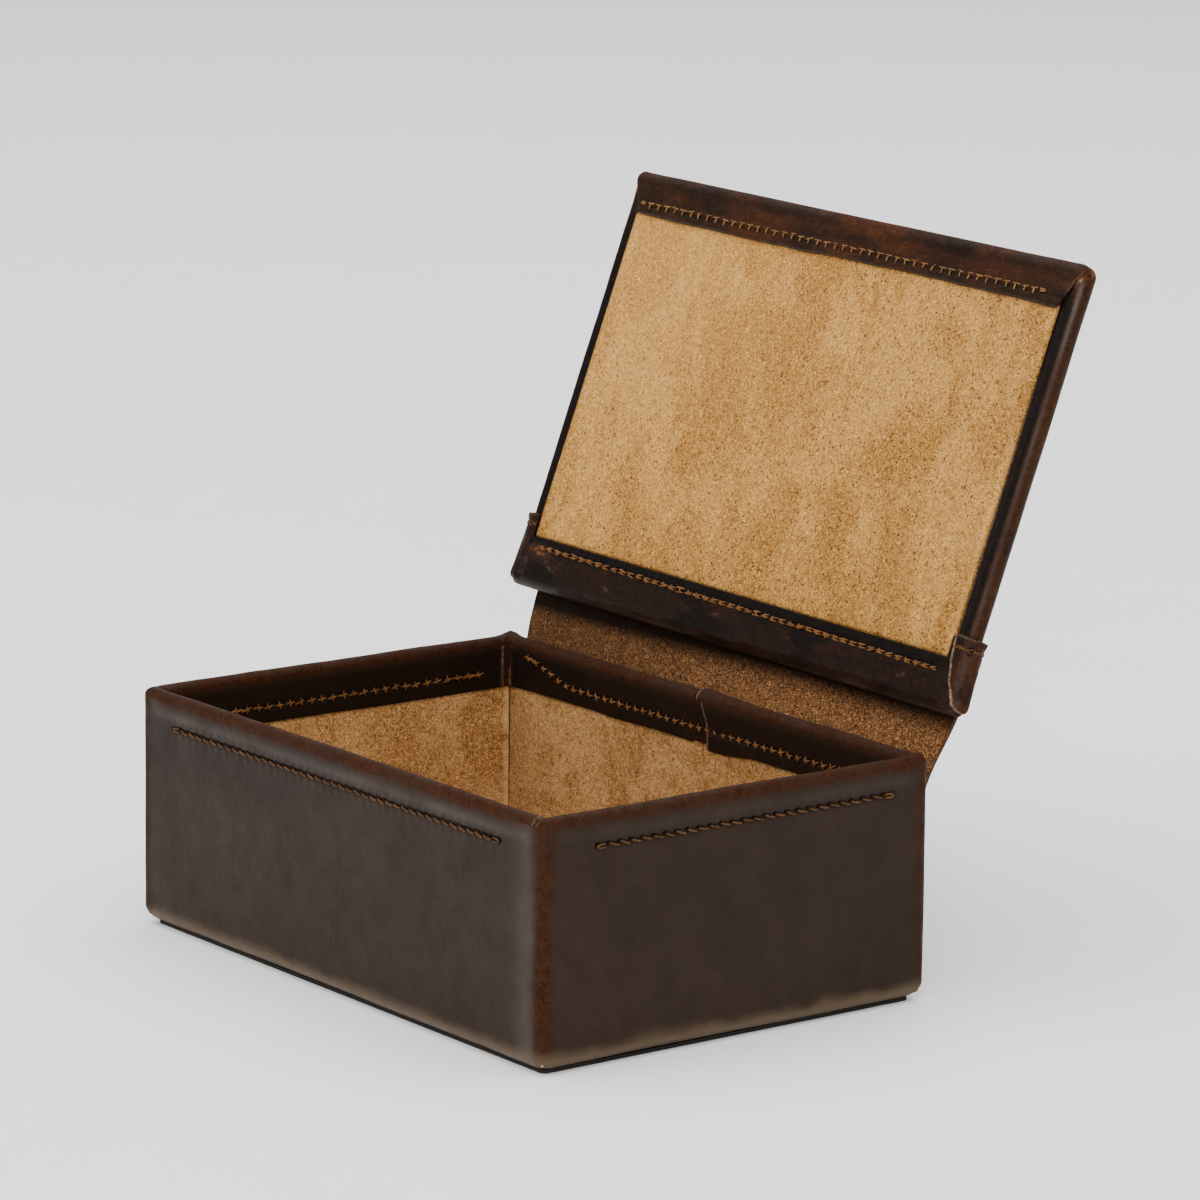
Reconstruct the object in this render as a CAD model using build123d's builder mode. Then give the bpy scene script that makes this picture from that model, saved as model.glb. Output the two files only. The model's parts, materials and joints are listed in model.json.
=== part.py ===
from build123d import *
from math import sin, radians
import os

# A leather-covered storage box with a lift lid. The box is a tray of stiff boards: one strip of leather
# covers its walls, turns over the rim and is sewn down inside. The lid is a covered board with a sewn
# front flap and a bound rear edge, and hangs on a leather strap sewn to its outer face and to the back
# wall. The lid is drawn open, a little askew, as the limp strap lets it stand. Sizes are in millimetres.
# X runs along the front wall, Y towards the back and Z up, from the middle of the footprint.

# Box, outside
box_width = 222.4
box_depth = 151.6
box_height = 80.0
corner_radius = 3.5
bottom_radius = 3.2
rim_radius = 2.2

# Layers of the walls and of the base
leather = 1.6
board = 2.0
suede = 1.0
glue_gap = 0.1
base_sheet = 1.2
base_sheet_inset = 3.7
base_sheet_corner = 2.0
hem_width = 14.0
band_depth = 17.5

# Thread and seams
thread = 0.8
thread_gap = 0.05
stitch_pitch = 4.3
stitch_length = 3.4
stitch_slant = 14.0
groove_depth = 0.7
seam_drop = 10.7
seam_margin = 21.0

# Lid
lid_side_setback = 0.7
lid_front_setback = 2.4
lid_rear_setback = 0.8
lid_thickness = 7.5
lid_corner_radius = 4.5
lid_edge_radius = 3.5
front_flap = 14.2
side_return = 6.5
rear_return = 16.7
suede_recess = 0.6
front_seam_inset = 10.5
front_seam_margin = 9.0
rear_seam_inset = 14.0
rear_seam_margin = 11.0

# Rear binding of the lid
binding = 1.0
binding_reach = 24.0
binding_seam_edge = 3.0

# Hinge strap
strap_side_inset = 6.2
strap_sewn_length = 18.0
strap_free_drop = 20.0
strap_gap = 0.3
strap_seam_edge = 4.0
strap_seam_margin = 6.0

# Hinge line: behind the back wall and above the rim, slightly askew
lid_clearance = 0.3
hinge_behind = 5.2
hinge_above = 7.15
hinge_skew_y = 0.0115
hinge_skew_z = -0.0295
open_angle = 110.7

# Heights and insets that follow from the layers
cover_low = base_sheet + glue_gap
pocket_low = cover_low + leather
pocket_high = box_height - leather
pocket_inset = leather + board + 2 * glue_gap
wall = pocket_inset + leather
base_board_low = pocket_low + glue_gap
base_board_high = base_board_low + board
base_lining_low = base_board_high + glue_gap
floor = base_lining_low + suede
band_low = box_height - band_depth
seam_height = box_height - seam_drop
lid_width = box_width - 2 * lid_side_setback
lid_rear = box_depth / 2 - lid_rear_setback - binding
lid_depth = lid_rear + box_depth / 2 - lid_front_setback
binding_seam_inset = binding_reach - binding_seam_edge
strap_half_width = box_width / 2 - strap_side_inset
strap_free_height = box_height - strap_free_drop
strap_low = strap_free_height - strap_sewn_length
groove_width = stitch_length * sin(radians(stitch_slant)) + thread + 2 * thread_gap
thread_depth = groove_depth - thread_gap - thread / 2

outward = {"front": (0, -1, 0), "right": (1, 0, 0), "back": (0, 1, 0), "left": (-1, 0, 0)}
os.makedirs("parts", exist_ok=True)


def save(part, name):
    """Labels a finished piece and writes it."""
    part.label = name
    export_step(part, f"parts/{name}.step")


def wall_span(side):
    """Length of a wall along its own direction, outside."""
    return box_width if side in ("front", "back") else box_depth


def wall_plane(side, inset, height, inward=False):
    """Plane on a wall: x along it, z out of the box, or into it where inward is set."""
    normal = Vector(outward[side])
    half = (box_width if side in ("left", "right") else box_depth) / 2
    origin = normal * (half - inset) + Vector(0, 0, height)
    facing = normal * -1 if inward else normal
    return Plane(origin=origin, x_dir=Vector(0, 0, 1).cross(facing), z_dir=facing)


def stitch_count(length):
    """Stitches in a seam of this length."""
    return int(length // stitch_pitch) + 1


def stitches(planes, length):
    """One row of short slanted stitches on each plane, lying in its groove."""
    with BuildPart(*[plane.offset(-thread_depth) for plane in planes]) as row:
        with GridLocations(stitch_pitch, 0, stitch_count(length), 1):
            Cylinder(thread / 2, stitch_length, rotation=(90, 90 - stitch_slant, 0))
    return row.part


def grooves(planes, length):
    """The channels that the rows of stitches lie in, as solids to cut away."""
    with BuildPart() as channel:
        for plane in planes:
            with BuildSketch(plane):
                Rectangle(length + 2 * stitch_pitch, groove_width)
            extrude(amount=groove_depth, both=True)
    return channel.part


def seam_planes(side):
    """The two faces that a wall's rim seam shows on: outside, and on the band inside."""
    return [wall_plane(side, 0, seam_height), wall_plane(side, wall, seam_height, inward=True)]


def seam_length(side):
    """Length of a wall's rim seam."""
    return wall_span(side) - 2 * seam_margin


def wall_sheet(side, inset, thickness, low, high):
    """A flat sheet along one wall; the front and back sheets run past the ends of the side ones."""
    ends = inset if side in ("front", "back") else inset + thickness + glue_gap
    with BuildPart() as sheet:
        with BuildSketch(wall_plane(side, inset, (low + high) / 2)):
            Rectangle(wall_span(side) - 2 * ends, high - low)
        extrude(amount=-thickness)
    return sheet.part


# ---- Box ----

rim_grooves = [grooves(seam_planes(side), seam_length(side)) for side in outward]

with BuildPart() as wall_cover:
    with BuildSketch(Plane.XY.offset(cover_low)):
        RectangleRounded(box_width, box_depth, corner_radius)
    extrude(amount=box_height - cover_low)
    fillet(wall_cover.faces().sort_by(Axis.Z)[0].edges(), radius=bottom_radius)
    with BuildSketch(Plane.XY.offset(pocket_low)):
        Rectangle(box_width - 2 * leather, box_depth - 2 * leather)
    extrude(amount=pocket_high - pocket_low, mode=Mode.SUBTRACT)
    with BuildSketch(Plane.XY.offset(band_low)):
        Rectangle(box_width - 2 * pocket_inset, box_depth - 2 * pocket_inset)
        Rectangle(box_width - 2 * wall, box_depth - 2 * wall, mode=Mode.SUBTRACT)
    extrude(amount=pocket_high - band_low)
    with BuildSketch(Plane.XY.offset(pocket_high)):
        Rectangle(box_width - 2 * wall, box_depth - 2 * wall)
    extrude(amount=leather, mode=Mode.SUBTRACT)
    fillet(wall_cover.faces().sort_by(Axis.Z)[-1].edges(), radius=rim_radius)
    hem_inset = base_sheet_inset + hem_width
    with BuildSketch(Plane.XY.offset(cover_low)):
        Rectangle(box_width - 2 * hem_inset, box_depth - 2 * hem_inset)
    extrude(amount=leather, mode=Mode.SUBTRACT)
    for channel in rim_grooves:
        add(channel, mode=Mode.SUBTRACT)
save(wall_cover.part, "wall_cover")

with BuildPart() as base_cover:
    with BuildSketch():
        RectangleRounded(
            box_width - 2 * base_sheet_inset, box_depth - 2 * base_sheet_inset, base_sheet_corner
        )
    extrude(amount=base_sheet)
save(base_cover.part, "base_cover")

with BuildPart() as base_board:
    with BuildSketch(Plane.XY.offset(base_board_low)):
        Rectangle(box_width - 2 * (leather + glue_gap), box_depth - 2 * (leather + glue_gap))
    extrude(amount=board)
save(base_board.part, "base_board")

with BuildPart() as base_lining:
    with BuildSketch(Plane.XY.offset(base_lining_low)):
        Rectangle(box_width - 2 * pocket_inset, box_depth - 2 * pocket_inset)
    extrude(amount=suede)
save(base_lining.part, "base_lining")

for side in outward:
    wall_board = wall_sheet(
        side, leather + glue_gap, board, base_board_high + glue_gap, pocket_high - glue_gap
    )
    save(wall_board, f"{side}_board")
    wall_lining = wall_sheet(side, pocket_inset, suede, floor + glue_gap, band_low - glue_gap)
    save(wall_lining, f"{side}_lining")
    save(stitches(seam_planes(side), seam_length(side)), f"{side}_stitches")

# ---- Lid, on its own plane: x across, y from the rear edge (0) to the front (negative), z through it ----

hinge_point = Vector(0, box_depth / 2 + hinge_behind, box_height + hinge_above)
hinge_line = Axis((0, 0, 0), (-1, -hinge_skew_y, -hinge_skew_z))
closed_origin = Vector(0, lid_rear, box_height + lid_clearance + binding)
lid_plane = Plane(
    origin=hinge_point + (closed_origin - hinge_point).rotate(hinge_line, open_angle),
    x_dir=Vector(1, 0, 0).rotate(hinge_line, open_angle),
    z_dir=Vector(0, 0, 1).rotate(hinge_line, open_angle),
)
through = Axis(lid_plane.origin, lid_plane.z_dir)
lid_top = lid_thickness + binding


def lid_level(height, back, inward=False):
    """Plane parallel to the lid, at a height through it and a distance forward from its rear edge.

    It faces the lid's outer side, or its lined side where inward is set.
    """
    return Plane(
        origin=lid_plane.from_local_coords((0, -back, height)),
        x_dir=lid_plane.x_dir,
        z_dir=lid_plane.z_dir * (-1 if inward else 1),
    )


def lid_form(grow):
    """The lid's rounded outer form, grown by this much all round."""
    with BuildPart() as form:
        with BuildSketch(lid_level(-grow, lid_depth / 2)):
            RectangleRounded(lid_width + 2 * grow, lid_depth + 2 * grow, lid_corner_radius + grow)
        extrude(amount=lid_thickness + 2 * grow)
        ends = form.faces().sort_by(through)
        fillet(ends[0].edges() + ends[-1].edges(), radius=lid_edge_radius + grow)
    return form.part


def side_plane(hand, turn):
    """Plane on the bound side edge (hand -1 left, 1 right), turned this far round the edge."""
    edge = Axis((0, 0, 0), lid_plane.y_dir)
    normal = (lid_plane.x_dir * hand).rotate(edge, turn)
    middle = (hand * (lid_width / 2 - lid_edge_radius), -binding_seam_inset, lid_thickness / 2)
    origin = lid_plane.from_local_coords(Vector(middle)) + normal * (lid_edge_radius + binding)
    return Plane(origin=origin, x_dir=lid_plane.y_dir.cross(normal), z_dir=normal)


lid_form_solid = lid_form(0)
window_depth = lid_depth - front_flap - rear_return
window_width = lid_width - 2 * side_return
window_middle = rear_return + window_depth / 2
front_seam_back = lid_depth - front_seam_inset
front_seam_length = lid_width - 2 * (side_return + front_seam_margin)
front_seam_planes = [
    lid_level(0, front_seam_back, inward=True),
    lid_level(lid_thickness, front_seam_back),
]
rear_seam_planes = [lid_level(-binding, rear_seam_inset, inward=True)]
rear_seam_length = lid_width - 2 * (side_return + rear_seam_margin)
side_stitch_turns = (-50.0, 0.0, 50.0)
side_planes = [side_plane(hand, turn) for hand in (-1, 1) for turn in side_stitch_turns]

with BuildPart() as lid_cover:
    add(lid_form_solid)
    with BuildSketch(lid_level(leather, lid_depth / 2)):
        Rectangle(lid_width - 2 * leather, lid_depth - 2 * leather)
    extrude(amount=lid_thickness - 2 * leather, mode=Mode.SUBTRACT)
    with BuildSketch(lid_level(0, window_middle)):
        Rectangle(window_width, window_depth)
    extrude(amount=leather, mode=Mode.SUBTRACT)
    add(grooves(front_seam_planes, front_seam_length), mode=Mode.SUBTRACT)
save(lid_cover.part, "lid_cover")

with BuildPart() as lid_board:
    with BuildSketch(lid_level(leather + glue_gap, lid_depth / 2)):
        Rectangle(lid_width - 2 * (leather + glue_gap), lid_depth - 2 * (leather + glue_gap))
    extrude(amount=lid_thickness - 2 * (leather + glue_gap))
save(lid_board.part, "lid_board")

with BuildPart() as lid_lining:
    with BuildSketch(lid_level(suede_recess, window_middle)):
        Rectangle(window_width - 2 * glue_gap, window_depth - 2 * glue_gap)
    extrude(amount=leather - suede_recess)
save(lid_lining.part, "lid_lining")

with BuildPart() as lid_rear_binding:
    add(lid_form(binding))
    add(lid_form_solid, mode=Mode.SUBTRACT)
    with BuildSketch(lid_level(-binding, binding_reach + lid_depth / 2)):
        Rectangle(lid_width + 4 * binding, lid_depth)
    extrude(amount=lid_thickness + 2 * binding, mode=Mode.SUBTRACT)
    with BuildSketch(lid_level(-binding, rear_return + binding_reach / 2)):
        Rectangle(window_width, binding_reach)
    extrude(amount=binding, mode=Mode.SUBTRACT)
    add(grooves(rear_seam_planes, rear_seam_length), mode=Mode.SUBTRACT)
    add(grooves(side_planes, 0), mode=Mode.SUBTRACT)
save(lid_rear_binding.part, "lid_rear_binding")

save(stitches(front_seam_planes, front_seam_length), "lid_front_stitches")
save(stitches(rear_seam_planes, rear_seam_length), "lid_rear_stitches")
save(stitches(side_planes, 0), "lid_side_stitches")

# ---- Hinge strap ----


def lid_point(world_x, back, height):
    """Point of the lid at this depth and height whose X in the box's frame is world_x."""
    start = lid_plane.from_local_coords(Vector(0, -back, height))
    return start + lid_plane.x_dir * ((world_x - start.X) / lid_plane.x_dir.X)


def strap_edge(world_x, stand_off):
    """One face of the strap where it is cut at world_x: up the back wall, free, then up the lid."""
    wall_y = box_depth / 2 + stand_off
    height = lid_top + stand_off
    low = Vector(world_x, wall_y, strap_low)
    leave = Vector(world_x, wall_y, strap_free_height)
    meet = lid_point(world_x, lid_edge_radius, height)
    high = lid_point(world_x, binding_reach, height)
    return low, leave, meet, high


def strap_section(world_x):
    """The strap's cross-section at world_x, as a sketch plane and the points of its two faces."""
    near = strap_edge(world_x, strap_gap)
    far = strap_edge(world_x, strap_gap + leather)
    return Plane(origin=(world_x, 0, 0), x_dir=(0, 1, 0), z_dir=(1, 0, 0)), near, far


strap_plane_across = lid_level(lid_top + strap_gap + leather, binding_seam_inset)
strap_seam_length = 2 * (strap_half_width - strap_seam_margin)
wall_strap_planes = [
    wall_plane("back", -(strap_gap + leather), strap_low + strap_seam_edge),
    wall_plane("back", -(strap_gap + leather), strap_free_height - strap_seam_edge),
]

with BuildPart() as hinge_strap:
    for world_x in (-strap_half_width, strap_half_width):
        section_plane, near, far = strap_section(world_x)
        with BuildSketch(section_plane):
            with BuildLine():
                faces = []
                for low, leave, meet, high in (near, far):
                    points = [section_plane.to_local_coords(point) for point in (low, leave, meet, high)]
                    faces.append(points)
                    Line(points[0], points[1])
                    Spline(points[1:3], tangents=[points[1] - points[0], points[3] - points[2]])
                    Line(points[2], points[3])
                Line(faces[0][0], faces[1][0])
                Line(faces[0][3], faces[1][3])
            make_face()
    loft(ruled=True)
    add(grooves(wall_strap_planes, strap_seam_length), mode=Mode.SUBTRACT)
    add(grooves([strap_plane_across], strap_seam_length), mode=Mode.SUBTRACT)
save(hinge_strap.part, "hinge_strap")

save(stitches(wall_strap_planes, strap_seam_length), "strap_box_stitches")
save(stitches([strap_plane_across], strap_seam_length), "strap_lid_stitches")
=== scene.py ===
import functools
import json
import math
from types import SimpleNamespace

import bpy
import numpy as np
from mathutils import Matrix, Vector


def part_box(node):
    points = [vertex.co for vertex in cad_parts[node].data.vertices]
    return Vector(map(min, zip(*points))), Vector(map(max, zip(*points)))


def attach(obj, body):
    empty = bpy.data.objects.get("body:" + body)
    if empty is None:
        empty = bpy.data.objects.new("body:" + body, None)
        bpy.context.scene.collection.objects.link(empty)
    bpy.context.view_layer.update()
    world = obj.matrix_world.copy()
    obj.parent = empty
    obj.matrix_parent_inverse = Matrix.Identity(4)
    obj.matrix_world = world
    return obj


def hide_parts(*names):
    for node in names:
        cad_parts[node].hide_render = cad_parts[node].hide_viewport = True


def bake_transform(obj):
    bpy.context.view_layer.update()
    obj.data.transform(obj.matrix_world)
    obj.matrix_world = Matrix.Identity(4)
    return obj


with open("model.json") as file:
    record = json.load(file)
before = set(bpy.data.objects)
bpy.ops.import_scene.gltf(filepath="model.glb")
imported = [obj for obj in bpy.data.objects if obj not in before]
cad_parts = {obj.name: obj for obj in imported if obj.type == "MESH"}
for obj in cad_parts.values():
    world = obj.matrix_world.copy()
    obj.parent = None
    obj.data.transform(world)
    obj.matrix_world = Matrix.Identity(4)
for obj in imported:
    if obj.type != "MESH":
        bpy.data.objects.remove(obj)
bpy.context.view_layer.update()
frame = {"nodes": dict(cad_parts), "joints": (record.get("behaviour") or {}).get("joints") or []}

# Everything below is worked out in millimetres, in the shared frame, and scaled to metres at the end.
MM = 0.001
SIDES = ("front", "right", "back", "left")

# ---- Driving sizes ----

# Box: its outside is the CAD wall cover's
low_corner, high_corner = (Vector(c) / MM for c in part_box("wall_cover"))
HALF = {"front": high_corner.x, "back": high_corner.x, "left": high_corner.y, "right": high_corner.y}
BOX_HEIGHT = high_corner.z
COVER_LOW = low_corner.z
CORNER_RADIUS = 3.5
INNER_CORNER_RADIUS = 1.6
BOTTOM_RADIUS = 5.2
LEATHER = 1.6
WALL = 5.4
HEM_INSET = 17.7
RIM_RADIUS = WALL / 2
BAND_LOW = 62.5
SUEDE_INSET = 4.8
# Inner corners, each with the places of the folds pressed into the leather round it
CORNER_FOLDS = (((-1, 1), (-2.6, 0.9)), ((-1, -1), (-3.1, 2.2)), ((1, 1), (-1.8, 1.8)), ((1, -1), (2.0,)))
FRAYED_FOLDS = (((-1, 1), -1.2), ((-1, -1), -0.6))
# Height of the knot that shows in the suede's left corner
KNOT_Z = 41.4

# Seams: height on the walls and on the band inside, then pitch, and length and middle of each row
SEAM_Z = 69.3
BAND_SEAM_Z = 68.0
PITCH = 4.3
WALL_ROWS = {"front": (179.0, -1.0), "right": (112.0, 2.5), "back": (179.0, 0.0), "left": (112.0, -2.0)}
BAND_ROWS = {"front": (176.0, -1.0), "right": (106.0, 2.5), "back": (183.0, 4.2), "left": (102.4, -7.6)}
FRONT_ROW = (202.0, -3.0)
REAR_ROW = (198.0, 0.6)
STRAP_ROW = (198.0, 0.0)
STITCH_LENGTH = 4.2
# Slant of the stitches in degrees
SLANT = 14
# Thread: radii, points round it, and how far its two plies turn in a millimetre
THREAD_RADIUS = 0.36
BAND_THREAD = 0.3
REAR_THREAD = 0.31
FINE_THREAD = 0.27
AROUND = 10
TWIST = 2.1

# Lid, in its own closed coordinates: u across, v forward from the rear edge, w up through it
LID_HALF = 110.5
LID_DEPTH = 147.4
LID_THICKNESS = 7.5
LID_CLEARANCE = 0.3
LID_ROLL = 3.7
# Width of the finer strips of the lid's grids along its edges
EDGE_STRIP = 8
BINDING = 1.0
BINDING_SHEET = 0.95
BINDING_REACH = 24.0
SIDE_SEAM = BINDING_REACH - 3.4
LID_REAR_SETBACK = 0.8
# How far the lid's underside may hang below the suede without touching the rim when it is shut
RIM_CLEAR = 0.8
# Where the sleeves of the rear binding start, on the lined face
SLEEVE_INNER = 104.3
SUEDE_SPAN = (-105.4, 102.6)
SUEDE_REAR = 16.7
SUEDE_FRONT = 134.5
FLAP_EDGE = 133.2
FLAP_CORNER = 102.8
FLAP_SLANT = 0.57
FRONT_SEAM = LID_DEPTH - 10.7
REAR_SEAM = 12.8
REAR_SEAM_SKEW = -0.007
# Scratches in the binding: place across and along the lid, and slant
NICKS = ((-93.5, 9.6, 0.5), (-91.2, 7.4, -0.3), (-88.6, 8.6, 0.9), (-61, 6.2, -0.4), (-6, 8.6, 0.2),
         (31, 7.9, -0.5), (86, 7.3, 0.3))

# Strap
STRAP_HALF = 105.0
STRAP_LOW = 42.0
STRAP_FREE = 60.0
STRAP_GAP = 0.3
# Where the strap meets the lid's outer face and where it is sewn there, from the lid's rear edge
STRAP_MEET = 3.5
STRAP_SEAM = BINDING_REACH - 3
BACK_SEAM_ROWS = (STRAP_LOW + 4, STRAP_FREE - 4)

joint = frame["joints"][0]
HINGE_POINT = np.array(joint["pos_m"]) / MM
HINGE_AXIS = np.array(joint["axis"])
OPEN_ANGLE = -math.radians(joint["range_deg"][0])
LID_ORIGIN = np.array([0.0, HALF["left"] - LID_REAR_SETBACK - BINDING, BOX_HEIGHT + LID_CLEARANCE + BINDING])


# ---- Small tools ----


def smooth(x, low, high):
    """Smooth step from 0 below low to 1 above high; low may be the larger."""
    t = np.clip((np.asarray(x, float) - low) / (high - low), 0, 1)
    return t * t * (3 - 2 * t)


def bump(x, width):
    """A bell of height 1 round x = 0."""
    return np.exp(-((np.asarray(x, float) / width) ** 2))


def unit(x):
    """x held between 0 and 1."""
    return np.clip(x, 0, 1)


def most(*values):
    """The largest of several values at each point."""
    return functools.reduce(np.maximum, values)


def xyz(x, y, z):
    """Points from their three coordinates, each of which is a number or an array."""
    return np.stack(np.broadcast_arrays(x, y, z), -1)


def normed(vectors):
    """Vectors made one long."""
    return vectors / np.maximum(np.linalg.norm(vectors, axis=-1, keepdims=True), 1e-9)


def lattice_noise(points, seed):
    """Smooth noise from -1 to 1 at points of shape (..., 3)."""
    cell = np.floor(points).astype(np.int64)
    part = points - cell
    part = part * part * (3 - 2 * part)
    total = np.zeros(points.shape[:-1])
    for corner in range(8):
        step = np.array([(corner >> axis) & 1 for axis in range(3)])
        c = cell + step
        h = c[..., 0] * 73856093 ^ c[..., 1] * 19349663 ^ c[..., 2] * 83492791 ^ (seed + 1) * 7919
        h = (h ^ (h >> 13)) * 1274126177
        h = h ^ (h >> 16)
        value = (h & 0xFFFF) / 32767.5 - 1
        total += value * np.prod(np.where(step == 1, part, 1 - part), axis=-1)
    return total


def fractal(points, size, octaves=3, seed=0):
    """Noise of several octaves, whose largest features are about size millimetres across."""
    total = np.zeros(points.shape[:-1])
    for octave in range(octaves):
        total += lattice_noise(points * (2**octave / size) + 17.3 * octave, seed + octave) * 0.5**octave
    return total


LID_TURN = np.array(Matrix.Rotation(OPEN_ANGLE, 3, Vector(HINGE_AXIS)))


def lid_place(uvw):
    """Lid coordinates (u, v, w) to the shared frame, with the lid open as at rest."""
    uvw = np.asarray(uvw, float)
    closed = LID_ORIGIN + uvw * np.array([1.0, -1.0, 1.0])
    return HINGE_POINT + (closed - HINGE_POINT) @ LID_TURN.T


def lid_direction(uvw):
    """A direction in lid coordinates, turned to the shared frame."""
    return (np.asarray(uvw, float) * np.array([1.0, -1.0, 1.0])) @ LID_TURN.T


def outside_suede(u):
    """How far a point of the lid lies beside its suede panel."""
    return np.maximum(u - SUEDE_SPAN[1], SUEDE_SPAN[0] - u)


def grid_normals(points, wrap=False):
    """Unit normals of a grid of points (rows, columns, 3); wrap joins the last column to the first."""
    down = np.gradient(points, axis=0)
    if wrap:
        along = (np.roll(points, -1, axis=1) - np.roll(points, 1, axis=1)) / 2
    else:
        along = np.gradient(points, axis=1)
    return normed(np.cross(along, down))


def grid_faces(rows, columns, wrap=False, start=0, flip=False):
    """Quads of a grid whose vertices are numbered row by row."""
    index = np.arange(rows * columns).reshape(rows, columns) + start
    here = index if wrap else index[:, :-1]
    right = np.roll(index, -1, axis=1) if wrap else index[:, 1:]
    quads = np.stack([here[:-1], right[:-1], right[1:], here[1:]], -1).reshape(-1, 4)
    return quads[:, ::-1] if flip else quads


def add_object(name, data):
    """A new object in the scene."""
    obj = bpy.data.objects.new(name, data)
    bpy.context.scene.collection.objects.link(obj)
    return obj


def make_piece(name, points, faces, material, body, node, marks):
    """A mesh object from points in millimetres, which rides on a body and may stand for a CAD node."""
    mesh = bpy.data.meshes.new(name)
    places = (np.asarray(points).reshape(-1, 3) * MM).tolist()
    mesh.from_pydata(places, [], [list(map(int, face)) for face in faces])
    for mark, values in marks.items():
        attribute = mesh.attributes.new(mark, "FLOAT", "POINT")
        attribute.data.foreach_set("value", np.asarray(values, np.float32).reshape(-1))
    mesh.polygons.foreach_set("use_smooth", [True] * len(mesh.polygons))
    mesh.materials.append(material)
    mesh.validate()
    obj = add_object(name, mesh)
    if body:
        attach(obj, body)
    if node:
        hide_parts(node)
    return obj


def sheet_piece(name, top, under, material, body, node, marks):
    """A closed sheet from two grids of points, its face and its back, joined round the border."""
    rows, columns = top.shape[:2]
    count = rows * columns
    index = np.arange(count).reshape(rows, columns)
    ring = np.concatenate([index[0], index[1:, -1], index[-1, -2::-1], index[-2:0:-1, 0]])
    following = np.roll(ring, -1)
    band = np.stack([ring, ring + count, following + count, following], -1)
    back_faces = grid_faces(rows, columns, start=count, flip=True)
    faces = np.concatenate([grid_faces(rows, columns), back_faces, band])
    points = np.concatenate([top.reshape(-1, 3), under.reshape(-1, 3)])
    full = {}
    for mark, sides in marks.items():
        full[mark] = np.concatenate([np.broadcast_to(side, (rows, columns)).reshape(-1) for side in sides])
    return make_piece(name, points, faces, material, body, node, full)


# ---- Materials ----


class Shader:
    """A material with one Principled shader, and short calls for the nodes that feed it."""

    def __init__(self, name, **sockets):
        self.material = bpy.data.materials.new(name)
        self.material.use_nodes = True
        self.tree = self.material.node_tree
        self.surface = self.tree.nodes["Principled BSDF"]
        for socket, value in sockets.items():
            self.surface.inputs[socket.replace("_", " ")].default_value = value
        self.place = self.add("ShaderNodeTexCoord").outputs["Object"]

    def add(self, kind, feeds=None, **settings):
        """A new node with these settings, whose inputs take these values or links."""
        node = self.tree.nodes.new(kind)
        for key, value in settings.items():
            setattr(node, key, value)
        for socket, value in (feeds or {}).items():
            self.feed(node.inputs[socket], value)
        return node

    def feed(self, socket, value):
        if hasattr(value, "is_output"):
            self.tree.links.new(value, socket)
        else:
            socket.default_value = value

    def noise(self, size, detail=3.0, rough=0.55, stretch=(1, 1, 1), warp=0.0):
        """Noise from 0 to 1 with features of this size in millimetres."""
        place = self.place
        if stretch != (1, 1, 1):
            place = self.add("ShaderNodeVectorMath", {0: place, 1: stretch}, operation="MULTIPLY").outputs[0]
        feeds = {"Vector": place, "Scale": 1 / (size * MM), "Detail": detail, "Roughness": rough,
                 "Distortion": warp}
        return self.add("ShaderNodeTexNoise", feeds).outputs["Fac"]

    def cells(self, size, feature="F1"):
        """Distance in a field of random cells of this size."""
        feeds = {"Vector": self.place, "Scale": 1 / (size * MM)}
        return self.add("ShaderNodeTexVoronoi", feeds, feature=feature).outputs["Distance"]

    def math(self, operation, a, b=0.0):
        return self.add("ShaderNodeMath", {0: a, 1: b}, operation=operation).outputs[0]

    def times(self, a, b):
        return self.math("MULTIPLY", a, b)

    def ramp(self, value, low, high, start=0.0, end=1.0):
        """value's stretch from low to high, mapped smoothly onto start to end."""
        feeds = dict(enumerate((value, low, high, start, end)))
        return self.add("ShaderNodeMapRange", feeds, interpolation_type="SMOOTHSTEP").outputs["Result"]

    def mix(self, factor, a, b):
        feeds = {"Factor": factor, "A": a, "B": b}
        return self.add("ShaderNodeMix", feeds, data_type="RGBA", blend_type="MIX").outputs["Result"]

    def lay(self, color, tone, value, low, high, start=0.0, end=1.0):
        """A colour with a tone over it, as strong as the ramp of a value."""
        return self.mix(self.ramp(value, low, high, start, end), color, tone)

    def mark(self, name):
        """A value that the mesh carries at each vertex."""
        return self.add("ShaderNodeAttribute", attribute_name=name).outputs["Fac"]

    def relief(self, *layers):
        """Bump from layers of (height, millimetres of depth)."""
        normal = None
        for height, depth in layers:
            feeds = {"Strength": 1.0, "Distance": depth * MM, "Height": height}
            if normal is not None:
                feeds["Normal"] = normal
            normal = self.add("ShaderNodeBump", feeds).outputs["Normal"]
        self.feed(self.surface.inputs["Normal"], normal)

    def finish(self, color, roughness):
        self.feed(self.surface.inputs["Base Color"], color)
        self.feed(self.surface.inputs["Roughness"], roughness)
        return self.material


def rgb(red, green, blue):
    """Linear colour from an sRGB one of 0 to 255."""
    values = [c / 255 for c in (red, green, blue)]
    return tuple(c / 12.92 if c <= 0.04045 else ((c + 0.055) / 1.055) ** 2.4 for c in values) + (1.0,)


def shade(color, factor):
    """A linear colour made darker or lighter."""
    return tuple(min(1.0, c * factor) for c in color[:3]) + (1.0,)


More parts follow.
